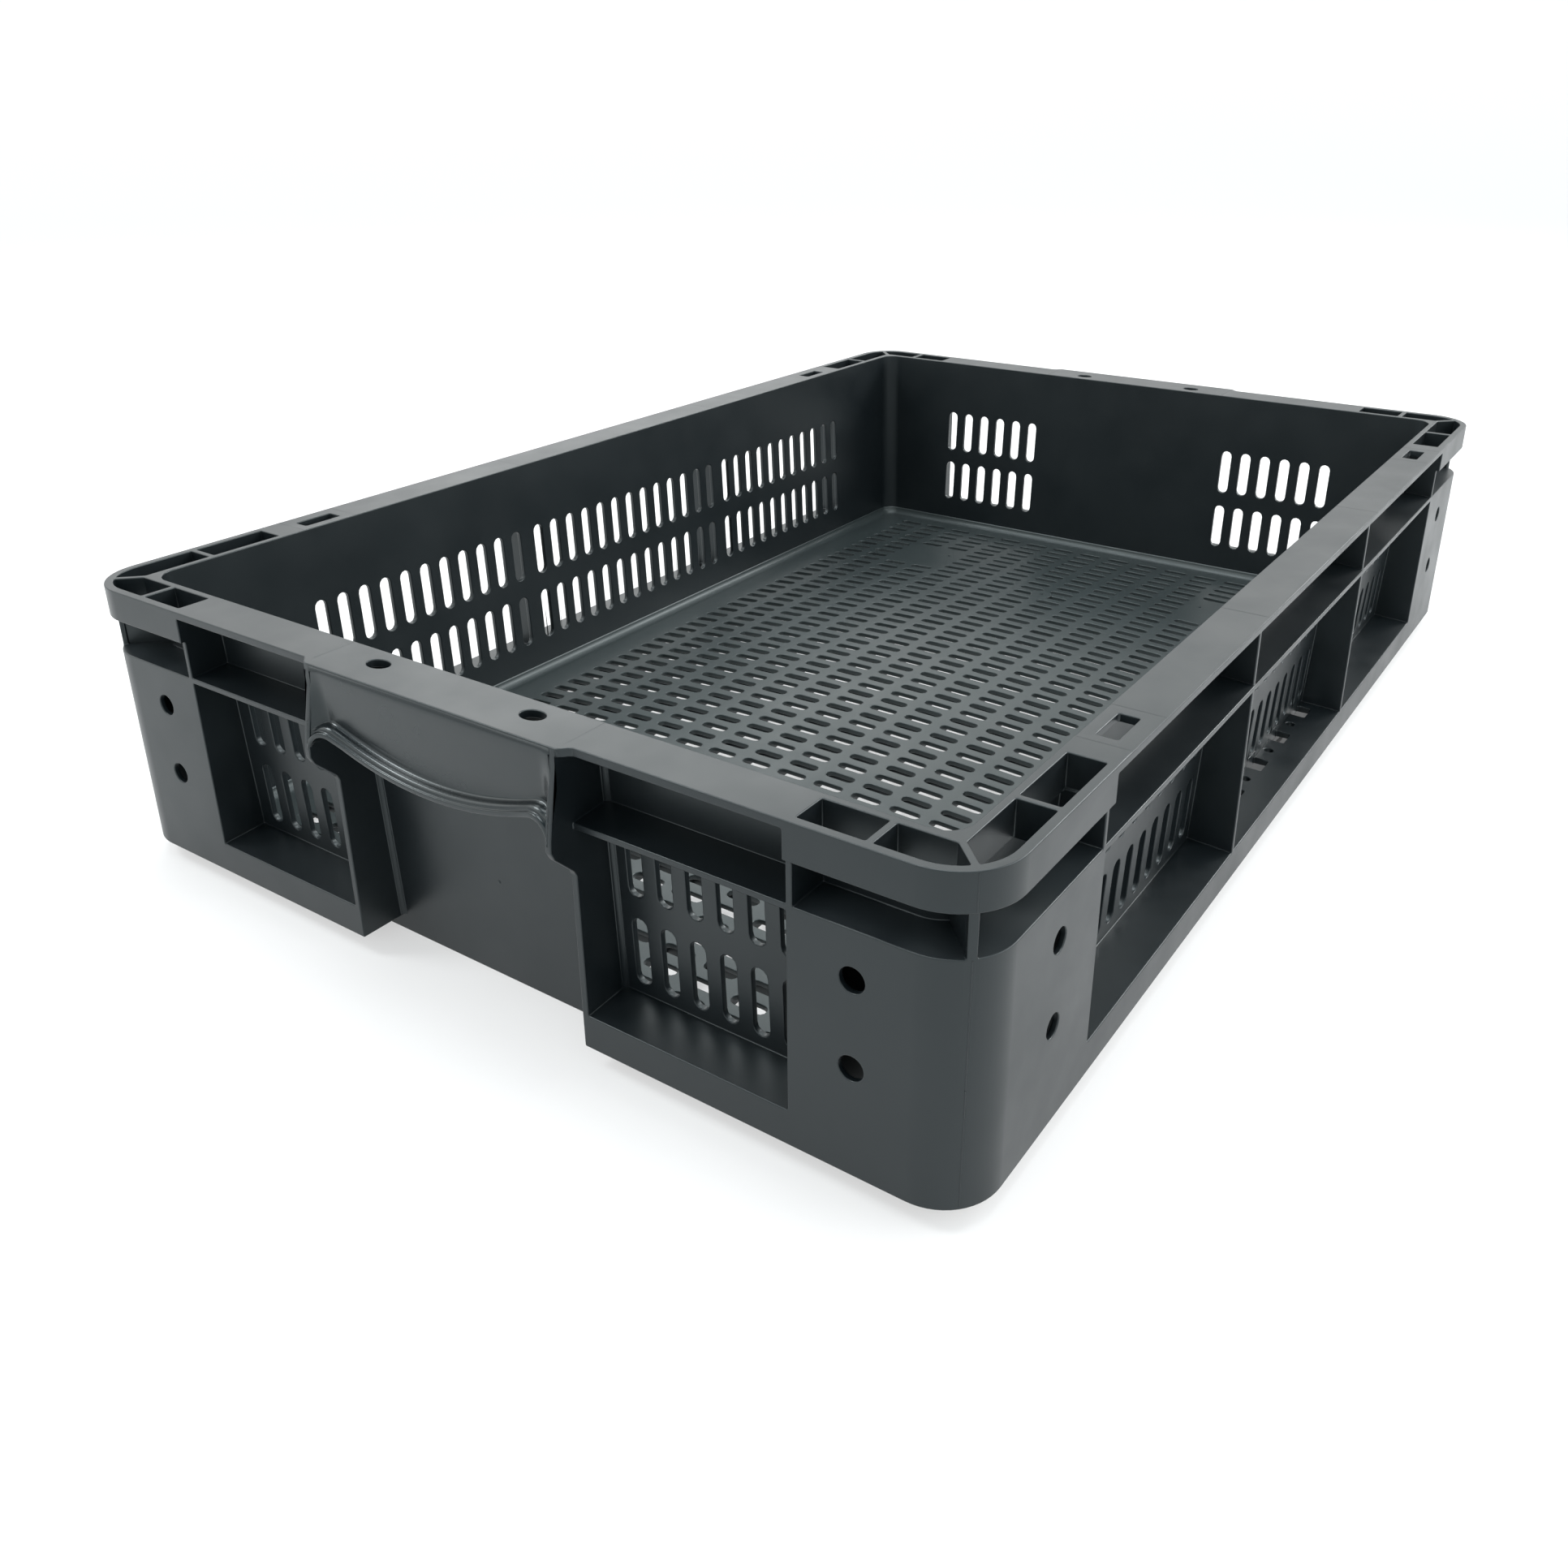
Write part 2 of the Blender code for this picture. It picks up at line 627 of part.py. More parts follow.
def handle_fascias():
    """The curved front plates that the hand pulls on, each with a thick rolled lip."""
    top = HEIGHT - FLANGE - CLEARANCE
    half = CHEEK_Y[0] - CLEARANCE
    for name, side_x in ENDS.items():
        rings = []
        for i in range(LIP_STATIONS + 1):
            share = 2 * i / LIP_STATIONS - 1
            y = half * math.sin(share * math.pi / 2)
            low = lip_height(y)
            rings.append([
                (-FASCIA_X + FASCIA_WALL, y, top),
                (-FASCIA_X, y, top),
                (-FASCIA_X + 1 * MM, y, low + 8.5 * MM),
                (-LIP_X, y, low + 6 * MM),
                (-LIP_X, y, low),
                (-FASCIA_X + FASCIA_WALL, y, low),
            ])
        add_object(f"handle_fascia_{name}", reflect(loft(bmesh.new(), rings), side_x, -1))


def main():
    clear_scene()
    floor_panel()
    underside_ribs()
    walls()
    wall_corners()
    rim_corners()
    rim_rails()
    corner_posts()
    ledges()
    stringers()
    side_fins()
    handle_cheeks()
    handle_fascias()


main()
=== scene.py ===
"""The look of the ventilated stacking crate: one dark polypropylene moulding with soft edges and fillets.

The body is modelled as its -X, -Y quarter, fused, bevelled, cut at the middle planes and mirrored.
The pierced floor, the ribs under it and the curved hand holds are pieces of their own.
Sizes come from the frame's boxes where a CAD node has them. Lengths are in metres.
"""

import math

import bmesh
import bpy
from mathutils import Matrix, Vector
from mathutils.geometry import delaunay_2d_cdt


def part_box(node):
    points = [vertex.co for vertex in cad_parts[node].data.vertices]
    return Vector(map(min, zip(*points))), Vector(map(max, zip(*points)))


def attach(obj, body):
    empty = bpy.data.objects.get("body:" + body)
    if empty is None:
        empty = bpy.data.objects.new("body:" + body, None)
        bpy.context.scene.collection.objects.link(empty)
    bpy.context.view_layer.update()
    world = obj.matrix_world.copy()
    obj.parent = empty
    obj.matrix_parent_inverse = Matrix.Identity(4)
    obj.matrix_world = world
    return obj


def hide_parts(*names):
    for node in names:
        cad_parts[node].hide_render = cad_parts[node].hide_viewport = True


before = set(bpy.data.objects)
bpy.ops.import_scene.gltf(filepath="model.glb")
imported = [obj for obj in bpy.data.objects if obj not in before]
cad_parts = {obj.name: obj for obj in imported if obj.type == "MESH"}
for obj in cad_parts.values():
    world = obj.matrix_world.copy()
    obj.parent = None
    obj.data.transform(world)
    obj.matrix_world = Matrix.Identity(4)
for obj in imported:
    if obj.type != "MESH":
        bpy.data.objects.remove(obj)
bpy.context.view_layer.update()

MM = 0.001


# ---------------------------------------------------------------- sizes

RIM_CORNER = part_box("rim_corner_front_left")
RIM_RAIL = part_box("rim_rail_left")
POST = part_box("corner_post_front_left")
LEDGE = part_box("end_ledge_front_left")
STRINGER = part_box("end_stringer_front_left")
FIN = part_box("side_fin_front_left")
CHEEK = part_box("handle_cheek_front_left")
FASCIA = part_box("handle_fascia_left")
END_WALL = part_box("end_wall_left")
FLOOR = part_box("floor_panel")

OVER = 5 * MM           # how far the quarter runs past the middle planes before it is cut there
EMBED = 1 * MM          # how far a rib runs into the wall it stands on
CLEAR = 5 * MM          # how far a cutter reaches past what it cuts

# Rim
RIM_X = -RIM_CORNER[0].x
RIM_Y = -RIM_CORNER[0].y
HEIGHT = RIM_CORNER[1].z
SKIRT_LOW = RIM_CORNER[0].z
FLANGE_LOW = RIM_RAIL[0].z
RIM_RADIUS = 22 * MM
SKIRT_WALL = 3.4 * MM
POCKET_INNER = 15.9 * MM
POCKET_RIB = 2.4 * MM
END_POCKET = (38.2 * MM, 60 * MM)
SIDE_POCKET = (48.2 * MM, 79.4 * MM)
LID_SLOT = (95 * MM, 113 * MM)
LID_SLOT_ACROSS = (6.7 * MM, 13.9 * MM)
OVAL_HOLE = (6.8 * MM, 9.6 * MM)
OVAL_HOLE_X = 10 * MM
OVAL_HOLE_Y = 36 * MM

# Walls
WALL = 2.4 * MM
DRAFT = 0.04
INNER_X = -END_WALL[1].x
INNER_Y = INNER_X - (RIM_X - RIM_Y)
INNER_RADIUS = 9 * MM
VENT_WIDTH = 6.2 * MM
VENT_PITCH = 12 * MM
VENT_ROWS = ((25.3 * MM, 51.5 * MM), (60 * MM, 86.2 * MM))
SIDE_LIFT = 0.9 * MM     # how much higher the sides' upper vents stand
END_VENT_FIRST = 66.8 * MM
END_VENT_COLUMNS = 6
SIDE_VENT_FIRST = 88 * MM
SIDE_VENT_COLUMNS = 11
MIDDLE_VENT_COLUMNS = 7

# Posts and bays
SKIN = 2.2 * MM
SKIN_X = -POST[0].x
SKIN_Y = -POST[0].y
SKIN_LOW = POST[0].z
SKIN_RADIUS = RIM_RADIUS - (RIM_X - SKIN_X)
POST_EDGE_X = -POST[1].x
POST_EDGE_Y = -POST[1].y
POST_TOP = 92.3 * MM
POST_HOLE_RADIUS = 4.2 * MM
POST_HOLE_HEIGHTS = (45.8 * MM, 75.8 * MM)
POST_HOLE_FROM_END = 50.9 * MM
POST_HOLE_FROM_SIDE = 40.8 * MM
GAP_RIB = 3 * MM
GAP_WEB = 1.8 * MM
LEDGE_TOP = LEDGE[1].z
STRINGER_TOP = STRINGER[1].z
LEDGE_SLOPE = 1 * MM
FIN_X = -FIN[0].x - SKIN / 2
FIN_INSET = 2.6 * MM
DRAIN_PITCH = 16.5 * MM
DRAIN_Y = 182.9 * MM
DRAIN_BIG = (11 * MM, 6.6 * MM)
DRAIN_SMALL_RADIUS = 2.1 * MM

# Hand holds
CHEEK_Y = (-CHEEK[1].y, -CHEEK[0].y)
POD_X = 303.3 * MM
POD_FLARE = ((300 * MM, 62.4 * MM), (300.8 * MM, 61 * MM), (302.3 * MM, 59.6 * MM), (303.3 * MM, CHEEK_Y[1]))
CHEEK_FRONT = (
    (303.3 * MM, 119.6 * MM),
    (303.8 * MM, 112 * MM),
    (305.5 * MM, 104 * MM),
    (307.2 * MM, 96 * MM),
    (308.2 * MM, 90 * MM),
    (308.4 * MM, 86.4 * MM),
    (307 * MM, 83.4 * MM),
    (302.6 * MM, 79 * MM),
    (299.2 * MM, 75.6 * MM),
    (SKIN_X, 73.4 * MM),
    (SKIN_X, SKIN_LOW),
)
LIP_LOW = FASCIA[0].z
LIP_RISE = 8.4 * MM
LIP_SHOULDER = 47 * MM
FASCIA_FRONT = ((303.34 * MM, 116.5 * MM), (301.5 * MM, 96 * MM))
FASCIA_TOP = 119.4 * MM
FASCIA_WALL = 2.4 * MM
CHEEK_FILLET = 1.8 * MM
# How far out from the fascia's face, and how far in from the lip's lower edge
LIP_PROFILE = (
    (0, 6.8), (0.05, 5.6), (0.15, 4.8), (0.5, 4.3), (1.2, 3.95), (2.1, 3.8), (2.85, 3.5),
    (3.35, 3.05), (3.6, 2.6), (3.7, 2.25), (3.95, 2.05), (4.35, 1.85), (4.5, 1.5), (4.5, 0.6),
    (4.3, 0.15), (3.7, 0), (1.4, 0), (-0.4, 0.3), (-1.7, 1.3), (-2.3, 3.2), (-2.4, 6.8),
)
LIP_REACH = 4.5 * MM

# Floor
FLOOR_THICKNESS = 2.4 * MM
FLOOR_EDGE_TOP = FLOOR[0].z + 1.8 * MM
CROWN = 8.6 * MM
COVE = 4.5 * MM
STRAIGHT_STEPS = 24
SLOT_PITCH = (9.87 * MM, 19.62 * MM)
SLOT_SIZE = (4.8 * MM, 14.5 * MM)
SLOT_COUNT = (54, 16)
SLOT_EDGE = 0.4 * MM
BLANK_COLUMNS = 4
BLANK_CENTRE = (196 * MM, 97 * MM)
INTO_WALLS = (1.0035, 1.0055)    # widens the cove's top edge into the walls
RIB_DEPTH = 4.9 * MM
RIB_ROOT = 1.8 * MM
RIB_TIP = 1.3 * MM
RIB_CHAMFER = 0.3 * MM

# Marks of the mould
LINE_WIDTH = 0.5 * MM
LINE_DEPTH = 0.11 * MM
LINE_REACH = 22 * MM      # how far the lines run in over the rim
# The parting line's section: how far out of the surface and along it, in millimetres
LINE_RIDGE = ((-0.3, -0.3), (-0.02, -0.3), (0.1, -0.08), (0.1, 0.08), (-0.02, 0.3), (-0.3, 0.3))
MARK_HEIGHT = 49.5 * MM
WALL_MARK = (1.6 * MM, 42.3 * MM)
GATE_X = 165 * MM
GATE_RADIUS = 6.5 * MM
NUB = (BLANK_CENTRE[0] + 8 * MM, BLANK_CENTRE[1] - 12 * MM)

HOLE_CORNER = 0.6 * MM   # the corner radius of the small rectangular holes
EDGE_RADIUS = 0.45 * MM
EDGE_STEPS = 2
MERGE = 0.004 * MM
SHARP = math.radians(38)

# Materials: the base colour, the roughness and the strength of the fine grain
PLASTIC = ((0.0038, 0.006, 0.0075), 0.36, 0.4)
# The floor's copy of the same plastic is rougher, and its base colour is about four times lighter than the
# body's: painted light, standing in for the overhead light the floor catches.
FLOOR_PLASTIC_PAINTED_LIGHT = ((0.0165, 0.0225, 0.0235), 0.42, 0.5)
FASCIA_PLASTIC = ((0.0045, 0.0068, 0.008), 0.25, 0.1)

# Stage and camera
PAPER = (0.36, 0.367, 0.37)
PAPER_FLAT = 2.6
PAPER_RISE = 1.6
PAPER_GLOW = 0.52
# The sky's brightness by height, as the share of the way from the horizon to overhead
SKY = (
    (0.05, (0.66, 0.67, 0.66)),
    (0.2, (1.0, 1.0, 0.98)),
    (0.55, (1.0, 1.0, 0.98)),
    (0.85, (0.12, 0.16, 0.18)),
)
SKY_STRENGTH = 2.25
CAMERA_PLACE = (-0.55957, -0.32371, 0.30186)
CAMERA_FORWARD = (0.7582, 0.51435, -0.40072)
CAMERA_ROLL = math.radians(-0.055)
LENS = 31.48             # millimetres, on a sensor 36 wide
LENS_SHIFT = (-0.0181, -0.07)


def inner_x(z):
    """Half length between the inner faces of the end walls at height z."""
    return INNER_X + DRAFT * z


def inner_y(z):
    return INNER_Y + DRAFT * z


def outer_x(z):
    return inner_x(z) + WALL


def outer_y(z):
    return inner_y(z) + WALL


def crown(x, y):
    """How far the floor bows up at (x, y) above its edges."""
    return CROWN * max(0.0, 1 - (x / INNER_X) ** 2) * max(0.0, 1 - (y / INNER_Y) ** 2)


# ---------------------------------------------------------------- shapes

def arc(centre, radius, start, end, steps):
    """Points on an arc, with angles in degrees."""
    points = []
    for i in range(steps + 1):
        angle = math.radians(start + (end - start) * i / steps)
        points.append((centre[0] + radius * math.cos(angle), centre[1] + radius * math.sin(angle)))
    return points


def stadium(centre, width, length, steps=6):
    """A slot outline with round ends, long in its second direction."""
    radius = width / 2
    straight = length / 2 - radius
    upper = arc((centre[0], centre[1] + straight), radius, 0, 180, steps)
    lower = arc((centre[0], centre[1] - straight), radius, 180, 360, steps)
    return upper + lower


def rounded_box(centre, width, length, radius, steps=3):
    a, b = width / 2 - radius, length / 2 - radius
    points = []
    for turn, (sx, sy) in enumerate(((1, 1), (-1, 1), (-1, -1), (1, -1))):
        points += arc((centre[0] + sx * a, centre[1] + sy * b), radius, 90 * turn, 90 * turn + 90, steps)
    return points


def ellipse(centre, half_a, half_b, steps=20):
    points = []
    for i in range(steps):
        angle = 2 * math.pi * i / steps
        points.append((centre[0] + half_a * math.cos(angle), centre[1] + half_b * math.sin(angle)))
    return points


def join(bm, rings):
    """Faces from each ring of vertices to the next."""
    for low, high in zip(rings, rings[1:]):
        for i in range(len(low)):
            j = (i + 1) % len(low)
            bm.faces.new((low[i], low[j], high[j], high[i]))


def loft(bm, rings):
    """Closed solid through rings of points, all with the same number of points."""
    made = [[bm.verts.new(point) for point in ring] for ring in rings]
    join(bm, made)
    bm.faces.new(made[0])
    bm.faces.new(made[-1])
    return bm


def prism(bm, outline, axis, low, high):
    """Closed prism of a flat outline, from low to high along axis (0, 1 or 2)."""
    rings = []
    for level in (low, high):
        ring = []
        for a, b in outline:
            point = [a, b]
            point.insert(axis, level)
            ring.append(point)
        rings.append(ring)
    return loft(bm, rings)


def mesh_object(name, bm):
    bmesh.ops.recalc_face_normals(bm, faces=bm.faces)
    mesh = bpy.data.meshes.new(name)
    bm.to_mesh(mesh)
    bm.free()
    made = bpy.data.objects.new(name, mesh)
    bpy.context.scene.collection.objects.link(made)
    return made


def apply_modifiers(item):
    """Replaces the object's mesh with what its modifiers make of it."""
    bpy.context.view_layer.update()
    graph = bpy.context.evaluated_depsgraph_get()
    made = bpy.data.meshes.new_from_object(item.evaluated_get(graph))
    old = item.data
    item.modifiers.clear()
    item.data = made
    bpy.data.meshes.remove(old)


def combine(base, tools, operation):
    """Exact Booleans of base with each tool in turn. The tools are used up."""
    for number, tool in enumerate(tools):
        step = base.modifiers.new(f"{operation} {number}", "BOOLEAN")
        step.operation = operation
        step.solver = "EXACT"
        step.object = tool
    apply_modifiers(base)
    for tool in tools:
        mesh = tool.data
        bpy.data.objects.remove(tool)
        bpy.data.meshes.remove(mesh)


def temp(bm):
    return mesh_object("tool", bm)


# ---------------------------------------------------------------- the body's quarter

def quarter_line(half_x, half_y, radius, steps=10):
    """A rounded rectangle's -X, -Y quarter, from past the X middle plane to past the Y one."""
    centre = (-half_x + radius, -half_y + radius)
    return [(OVER, -half_y)] + arc(centre, radius, 270, 180, steps) + [(-half_x, OVER)]


def basin(extra, low, high):
    """Everything inside the walls' inner faces, or inside their outer faces where extra is the wall."""
    rings = []
    for z in (low, high):
        line = quarter_line(inner_x(z) + extra, inner_y(z) + extra, INNER_RADIUS + extra)
        rings.append([(x, y, z) for x, y in line + [(OVER, OVER)]])
    return loft(bmesh.new(), rings)


def rim_flange():
    """The flat top of the rim, widened over the hand hold."""
    centre = (-RIM_X + RIM_RADIUS, -RIM_Y + RIM_RADIUS)
    outline = [(OVER, -RIM_Y)] + arc(centre, RIM_RADIUS, 270, 180, 14)
    outline += [(-x, -y) for x, y in POD_FLARE]
    outline += [(-POD_X, OVER), (OVER, OVER)]
    return prism(bmesh.new(), outline, 2, FLANGE_LOW, HEIGHT)


def rim_skirt():
    """The deep corner of the rim."""
    centre = (-RIM_X + RIM_RADIUS, -RIM_Y + RIM_RADIUS)
    inside = (-INNER_X + INNER_RADIUS, -INNER_Y + INNER_RADIUS)
    outline = [(-RIM_X, -POST_EDGE_Y)] + arc(centre, RIM_RADIUS, 180, 270, 14)
    outline += [(-POST_EDGE_X, -RIM_Y), (-POST_EDGE_X, inside[1]), inside, (inside[0], -POST_EDGE_Y)]
    return prism(bmesh.new(), outline, 2, SKIRT_LOW, HEIGHT)


def rim_pockets():
    """The open pockets of the corner, parted by ribs and by one rib across the corner."""
    x_out, y_out = -RIM_X + SKIRT_WALL, -RIM_Y + SKIRT_WALL
    x_in, y_in = -RIM_X + POCKET_INNER, -RIM_Y + POCKET_INNER
    centre = (-RIM_X + RIM_RADIUS, -RIM_Y + RIM_RADIUS)
    radius = RIM_RADIUS - SKIRT_WALL
    half_rib = POCKET_RIB / math.sqrt(2)
    turn = math.degrees(math.asin(POCKET_RIB / 2 / radius))
    diagonal = RIM_X - RIM_Y
    end_near, end_far = -RIM_Y + END_POCKET[0], -RIM_Y + END_POCKET[1]
    side_near, side_far = -RIM_X + SIDE_POCKET[0], -RIM_X + SIDE_POCKET[1]
    end_stop, side_stop = end_near - POCKET_RIB, side_near - POCKET_RIB
    outlines = (
        [(x_out, end_near), (x_out, end_far), (x_in, end_far), (x_in, end_near)],
        [(side_near, y_out), (side_far, y_out), (side_far, y_in), (side_near, y_in)],
        arc(centre, radius, 180, 225 - turn, 6)
        + [(x_in, x_in + diagonal + half_rib), (x_in, end_stop), (x_out, end_stop)],
        arc(centre, radius, 225 + turn, 270, 6)
        + [(side_stop, y_out), (side_stop, y_in), (y_in - diagonal + half_rib, y_in)],
    )
    bm = bmesh.new()
    for outline in outlines:
        prism(bm, outline, 2, SKIRT_LOW - CLEAR, HEIGHT + CLEAR)
    return bm


def rim_holes():
    """The oval holes over the hand hold, and the small slots beside the corner pockets."""
    bm = bmesh.new()
    oval = ellipse((-RIM_X + OVAL_HOLE_X, -OVAL_HOLE_Y), OVAL_HOLE[0] / 2, OVAL_HOLE[1] / 2)
    prism(bm, oval, 2, FLANGE_LOW - 2 * MM, HEIGHT + CLEAR)
    (x_near, x_far), (y_near, y_far) = LID_SLOT, LID_SLOT_ACROSS
    centre = (-RIM_X + (x_near + x_far) / 2, -RIM_Y + (y_near + y_far) / 2)
    slot = rounded_box(centre, x_far - x_near, y_far - y_near, HOLE_CORNER, 2)
    return prism(bm, slot, 2, FLANGE_LOW - 2 * MM, HEIGHT + CLEAR)


def post_line(inset, end_inset=0.0, steps=14):
    centre = (-SKIN_X + SKIN_RADIUS, -SKIN_Y + SKIN_RADIUS)
    line = [(-SKIN_X + inset, -POST_EDGE_Y - end_inset)]
    line += arc(centre, SKIN_RADIUS - inset, 180, 270, steps)
    return line + [(-POST_EDGE_X - end_inset, -SKIN_Y + inset)]


def post_block():
    """The corner post before it is hollowed, from its outer faces into the walls."""
    rings = []
    for z in (SKIN_LOW, SKIRT_LOW + EMBED):
        x, y = -outer_x(z) + EMBED, -outer_y(z) + EMBED
        radius = INNER_RADIUS + WALL - EMBED
        ring = post_line(0) + [(-POST_EDGE_X, y)]
        ring += arc((x + radius, y + radius), radius, 270, 180, 10) + [(x, -POST_EDGE_Y)]
        rings.append([(a, b, z) for a, b in ring])
    return loft(bmesh.new(), rings)


def post_inside(low, high, outline):
    """A cutter between a post's skin and the walls, which leaves EMBED of the block on the walls."""
    rings = []
    for z in (low, high):
        x, y = -outer_x(z) + EMBED / 2, -outer_y(z) + EMBED / 2
        radius = INNER_RADIUS + WALL - EMBED / 2
        ring = outline + [(-POST_EDGE_X - SKIN, y)]
        ring += arc((x + radius, y + radius), radius, 270, 180, 10) + [(x, -POST_EDGE_Y - SKIN)]
        rings.append([(a, b, z) for a, b in ring])
    return loft(bmesh.new(), rings)


def post_hollow():
    return post_inside(0, POST_TOP - SKIN, post_line(SKIN, SKIN))


def post_gap():
    """The open gap between the post's shelf and the rim's skirt, round the rib at the corner."""
    half = GAP_RIB / 2
    step = math.sqrt(0.5)
    corner = []
    for out, across in ((2 * SKIN_RADIUS, -half), (SKIN_RADIUS - SKIN, -half),
                        (SKIN_RADIUS - SKIN, half), (2 * SKIN_RADIUS, half)):
        x = -SKIN_X + SKIN_RADIUS - (out - across) * step
        y = -SKIN_Y + SKIN_RADIUS - (out + across) * step
        corner.append((x, y))
    outline = [(corner[0][0], -POST_EDGE_Y - SKIN)] + corner + [(-POST_EDGE_X - SKIN, corner[-1][1])]
    return post_inside(POST_TOP, HEIGHT, outline)


def gap_web():
    """The thin web that closes the gap at the corner, from its rib in to the wall."""
    step = math.sqrt(0.5)
    side = GAP_WEB / 2 * step
    ends = []
    for x, y, radius, depth in ((SKIN_X, SKIN_Y, SKIN_RADIUS, SKIN / 2),
                                (outer_x(POST_TOP), outer_y(POST_TOP), INNER_RADIUS + WALL, WALL / 2)):
        inward = radius - (radius - depth) * step
        ends.append((-x + inward, -y + inward))
    outline = [(x + turn * side, y - turn * side) for (x, y), turn in zip(ends + ends[::-1], (-1, -1, 1, 1))]
    return prism(bmesh.new(), outline, 2, POST_TOP - SKIN / 2, SKIRT_LOW + EMBED)


def post_holes():
    bm = bmesh.new()
    for z in POST_HOLE_HEIGHTS:
        hole = ellipse((-RIM_Y + POST_HOLE_FROM_SIDE, z), POST_HOLE_RADIUS, POST_HOLE_RADIUS)
        prism(bm, hole, 0, -SKIN_X - SKIN, -SKIN_X + 2 * SKIN)
        hole = ellipse((-RIM_X + POST_HOLE_FROM_END, z), POST_HOLE_RADIUS, POST_HOLE_RADIUS)
        prism(bm, hole, 1, -SKIN_Y - SKIN, -SKIN_Y + 2 * SKIN)
    return bm


def shelf_profile(skin, wall_at, top, band_low=None):
    """Across the wall: a shelf that rises a little to the wall, with a band hanging from its outer edge."""
    low = top - SKIN
    root = top + LEDGE_SLOPE
    profile = [(-skin, top), (-wall_at(top) + EMBED, root), (-wall_at(low) + EMBED, low)]
    if band_low is None:
        return profile + [(-skin, low)]
    return profile + [(-skin + SKIN, low), (-skin + SKIN, band_low), (-skin, band_low)]


def ribs_of_the_bays():
    """Ledges, stringers and fins, each a closed solid that runs into its neighbours."""
    end = (-POST_EDGE_Y - SKIN / 2, -CHEEK_Y[1] + EMBED)
    side = (-POST_EDGE_X - SKIN / 2, OVER)
    low, high = LEDGE_TOP - SKIN / 2, FLANGE_LOW + EMBED
    fin = [(-SKIN_Y, low), (-SKIN_Y, LEDGE_TOP + 2 * MM), (-RIM_Y + FIN_INSET, high),
           (-outer_y(high) + EMBED, high), (-outer_y(low) + EMBED, low)]
    return [
        prism(bmesh.new(), shelf_profile(SKIN_X, outer_x, LEDGE_TOP, SKIN_LOW), 1, *end),
        prism(bmesh.new(), shelf_profile(SKIN_X, outer_x, STRINGER_TOP), 1, *end),
        prism(bmesh.new(), shelf_profile(SKIN_Y, outer_y, LEDGE_TOP, SKIN_LOW), 0, *side),
        prism(bmesh.new(), shelf_profile(SKIN_Y, outer_y, STRINGER_TOP), 0, *side),
        prism(bmesh.new(), fin, 0, -FIN_X - SKIN / 2, -FIN_X + SKIN / 2),
    ]


def cheek():
    outline = [(-x, z) for x, z in CHEEK_FRONT]
    top = CHEEK_FRONT[0][1]
    outline += [(-outer_x(SKIN_LOW) + EMBED, SKIN_LOW), (-outer_x(top) + EMBED, top)]
    return prism(bmesh.new(), outline, 1, -CHEEK_Y[1], -CHEEK_Y[0])


def cheek_fillets():
    """Round inner corners between the cheek and the end wall, on both sides of the cheek."""
    bm = bmesh.new()
    radius = CHEEK_FILLET
    for face, away in ((CHEEK_Y[0], -1), (CHEEK_Y[1], 1)):
        rings = []
        for z in (SKIN_LOW + 0.6 * MM, FLANGE_LOW + EMBED / 2):
            x = outer_x(z)
            ring = [(x - EMBED, face - away * EMBED), (x + radius, face - away * EMBED)]
            for a, b in arc((0, 0), radius, 180, 270, 5):
                ring.append((x + radius + b, face + away * (radius + a)))
            ring.append((x - EMBED, face + away * radius))
            rings.append([(-a, -b, z) for a, b in ring])
        loft(bm, rings)
    return bm


def rim_lines():
    """Shallow lines across the rim's top, at the hand hold's ends, the lid slots and the fins."""
    bm = bmesh.new()
    half, deep, proud = LINE_WIDTH / 2, LINE_DEPTH, 1 * MM
    section = [(-half * (1 + proud / deep), proud), (half * (1 + proud / deep), proud), (0, -deep)]
    y = -CHEEK_Y[1] - 0.4 * MM
    prism(bm, [(y + w, HEIGHT + h) for w, h in section], 0, -RIM_X + 1 * MM, -RIM_X + LINE_REACH)
    for x in (-RIM_X + LID_SLOT[0] - 4.5 * MM, -RIM_X + LID_SLOT[1] + 5 * MM, -FIN_X):
        prism(bm, [(x + w, HEIGHT + h) for w, h in section], 1, -RIM_Y - 2 * MM, -RIM_Y + LINE_REACH)
    return bm


def parting_lines():
    """The mould's parting line at the corner, a hair proud, with its small vent mark."""
    bm = bmesh.new()
    step = math.sqrt(0.5)
    centre = (-RIM_X + RIM_RADIUS, -RIM_Y + RIM_RADIUS)
    for radius, low, high in ((SKIN_RADIUS, SKIN_LOW + 0.6 * MM, POST_TOP - 0.5 * MM),
                              (RIM_RADIUS, SKIRT_LOW + 0.5 * MM, HEIGHT - 0.6 * MM)):
        outline = []
        for out, across in LINE_RIDGE:
            reach, w = radius + out * MM, across * MM
            outline.append((centre[0] - (reach - w) * step, centre[1] - (reach + w) * step))
        prism(bm, outline, 2, low, high)
    place = (centre[0] - SKIN_RADIUS * step, centre[1] - SKIN_RADIUS * step, MARK_HEIGHT)
    mark = Matrix.Translation(place) @ Matrix.Scale(0.8, 4)
    bmesh.ops.create_uvsphere(bm, u_segments=12, v_segments=8, radius=0.4 * MM, matrix=mark)
    return bm


def add_shells(item, bm):
    """Adds small closed shapes, sunk into the surface, to a mesh."""
    bmesh.ops.recalc_face_normals(bm, faces=bm.faces)
    bm.from_mesh(item.data)
    bm.to_mesh(item.data)
    bm.free()


def button(bm, place, radius, proud):
    """A low round mark left by the mould, on a level face."""
    x, y, z = place
    rings = []
    for share, lift in ((1.0, -0.3 * MM), (1.0, proud * 0.4), (0.93, proud * 0.85), (0.85, proud)):
        rings.append([(a, b, z + lift) for a, b in ellipse((x, y), radius * share, radius * share, 24)])
    loft(bm, rings)


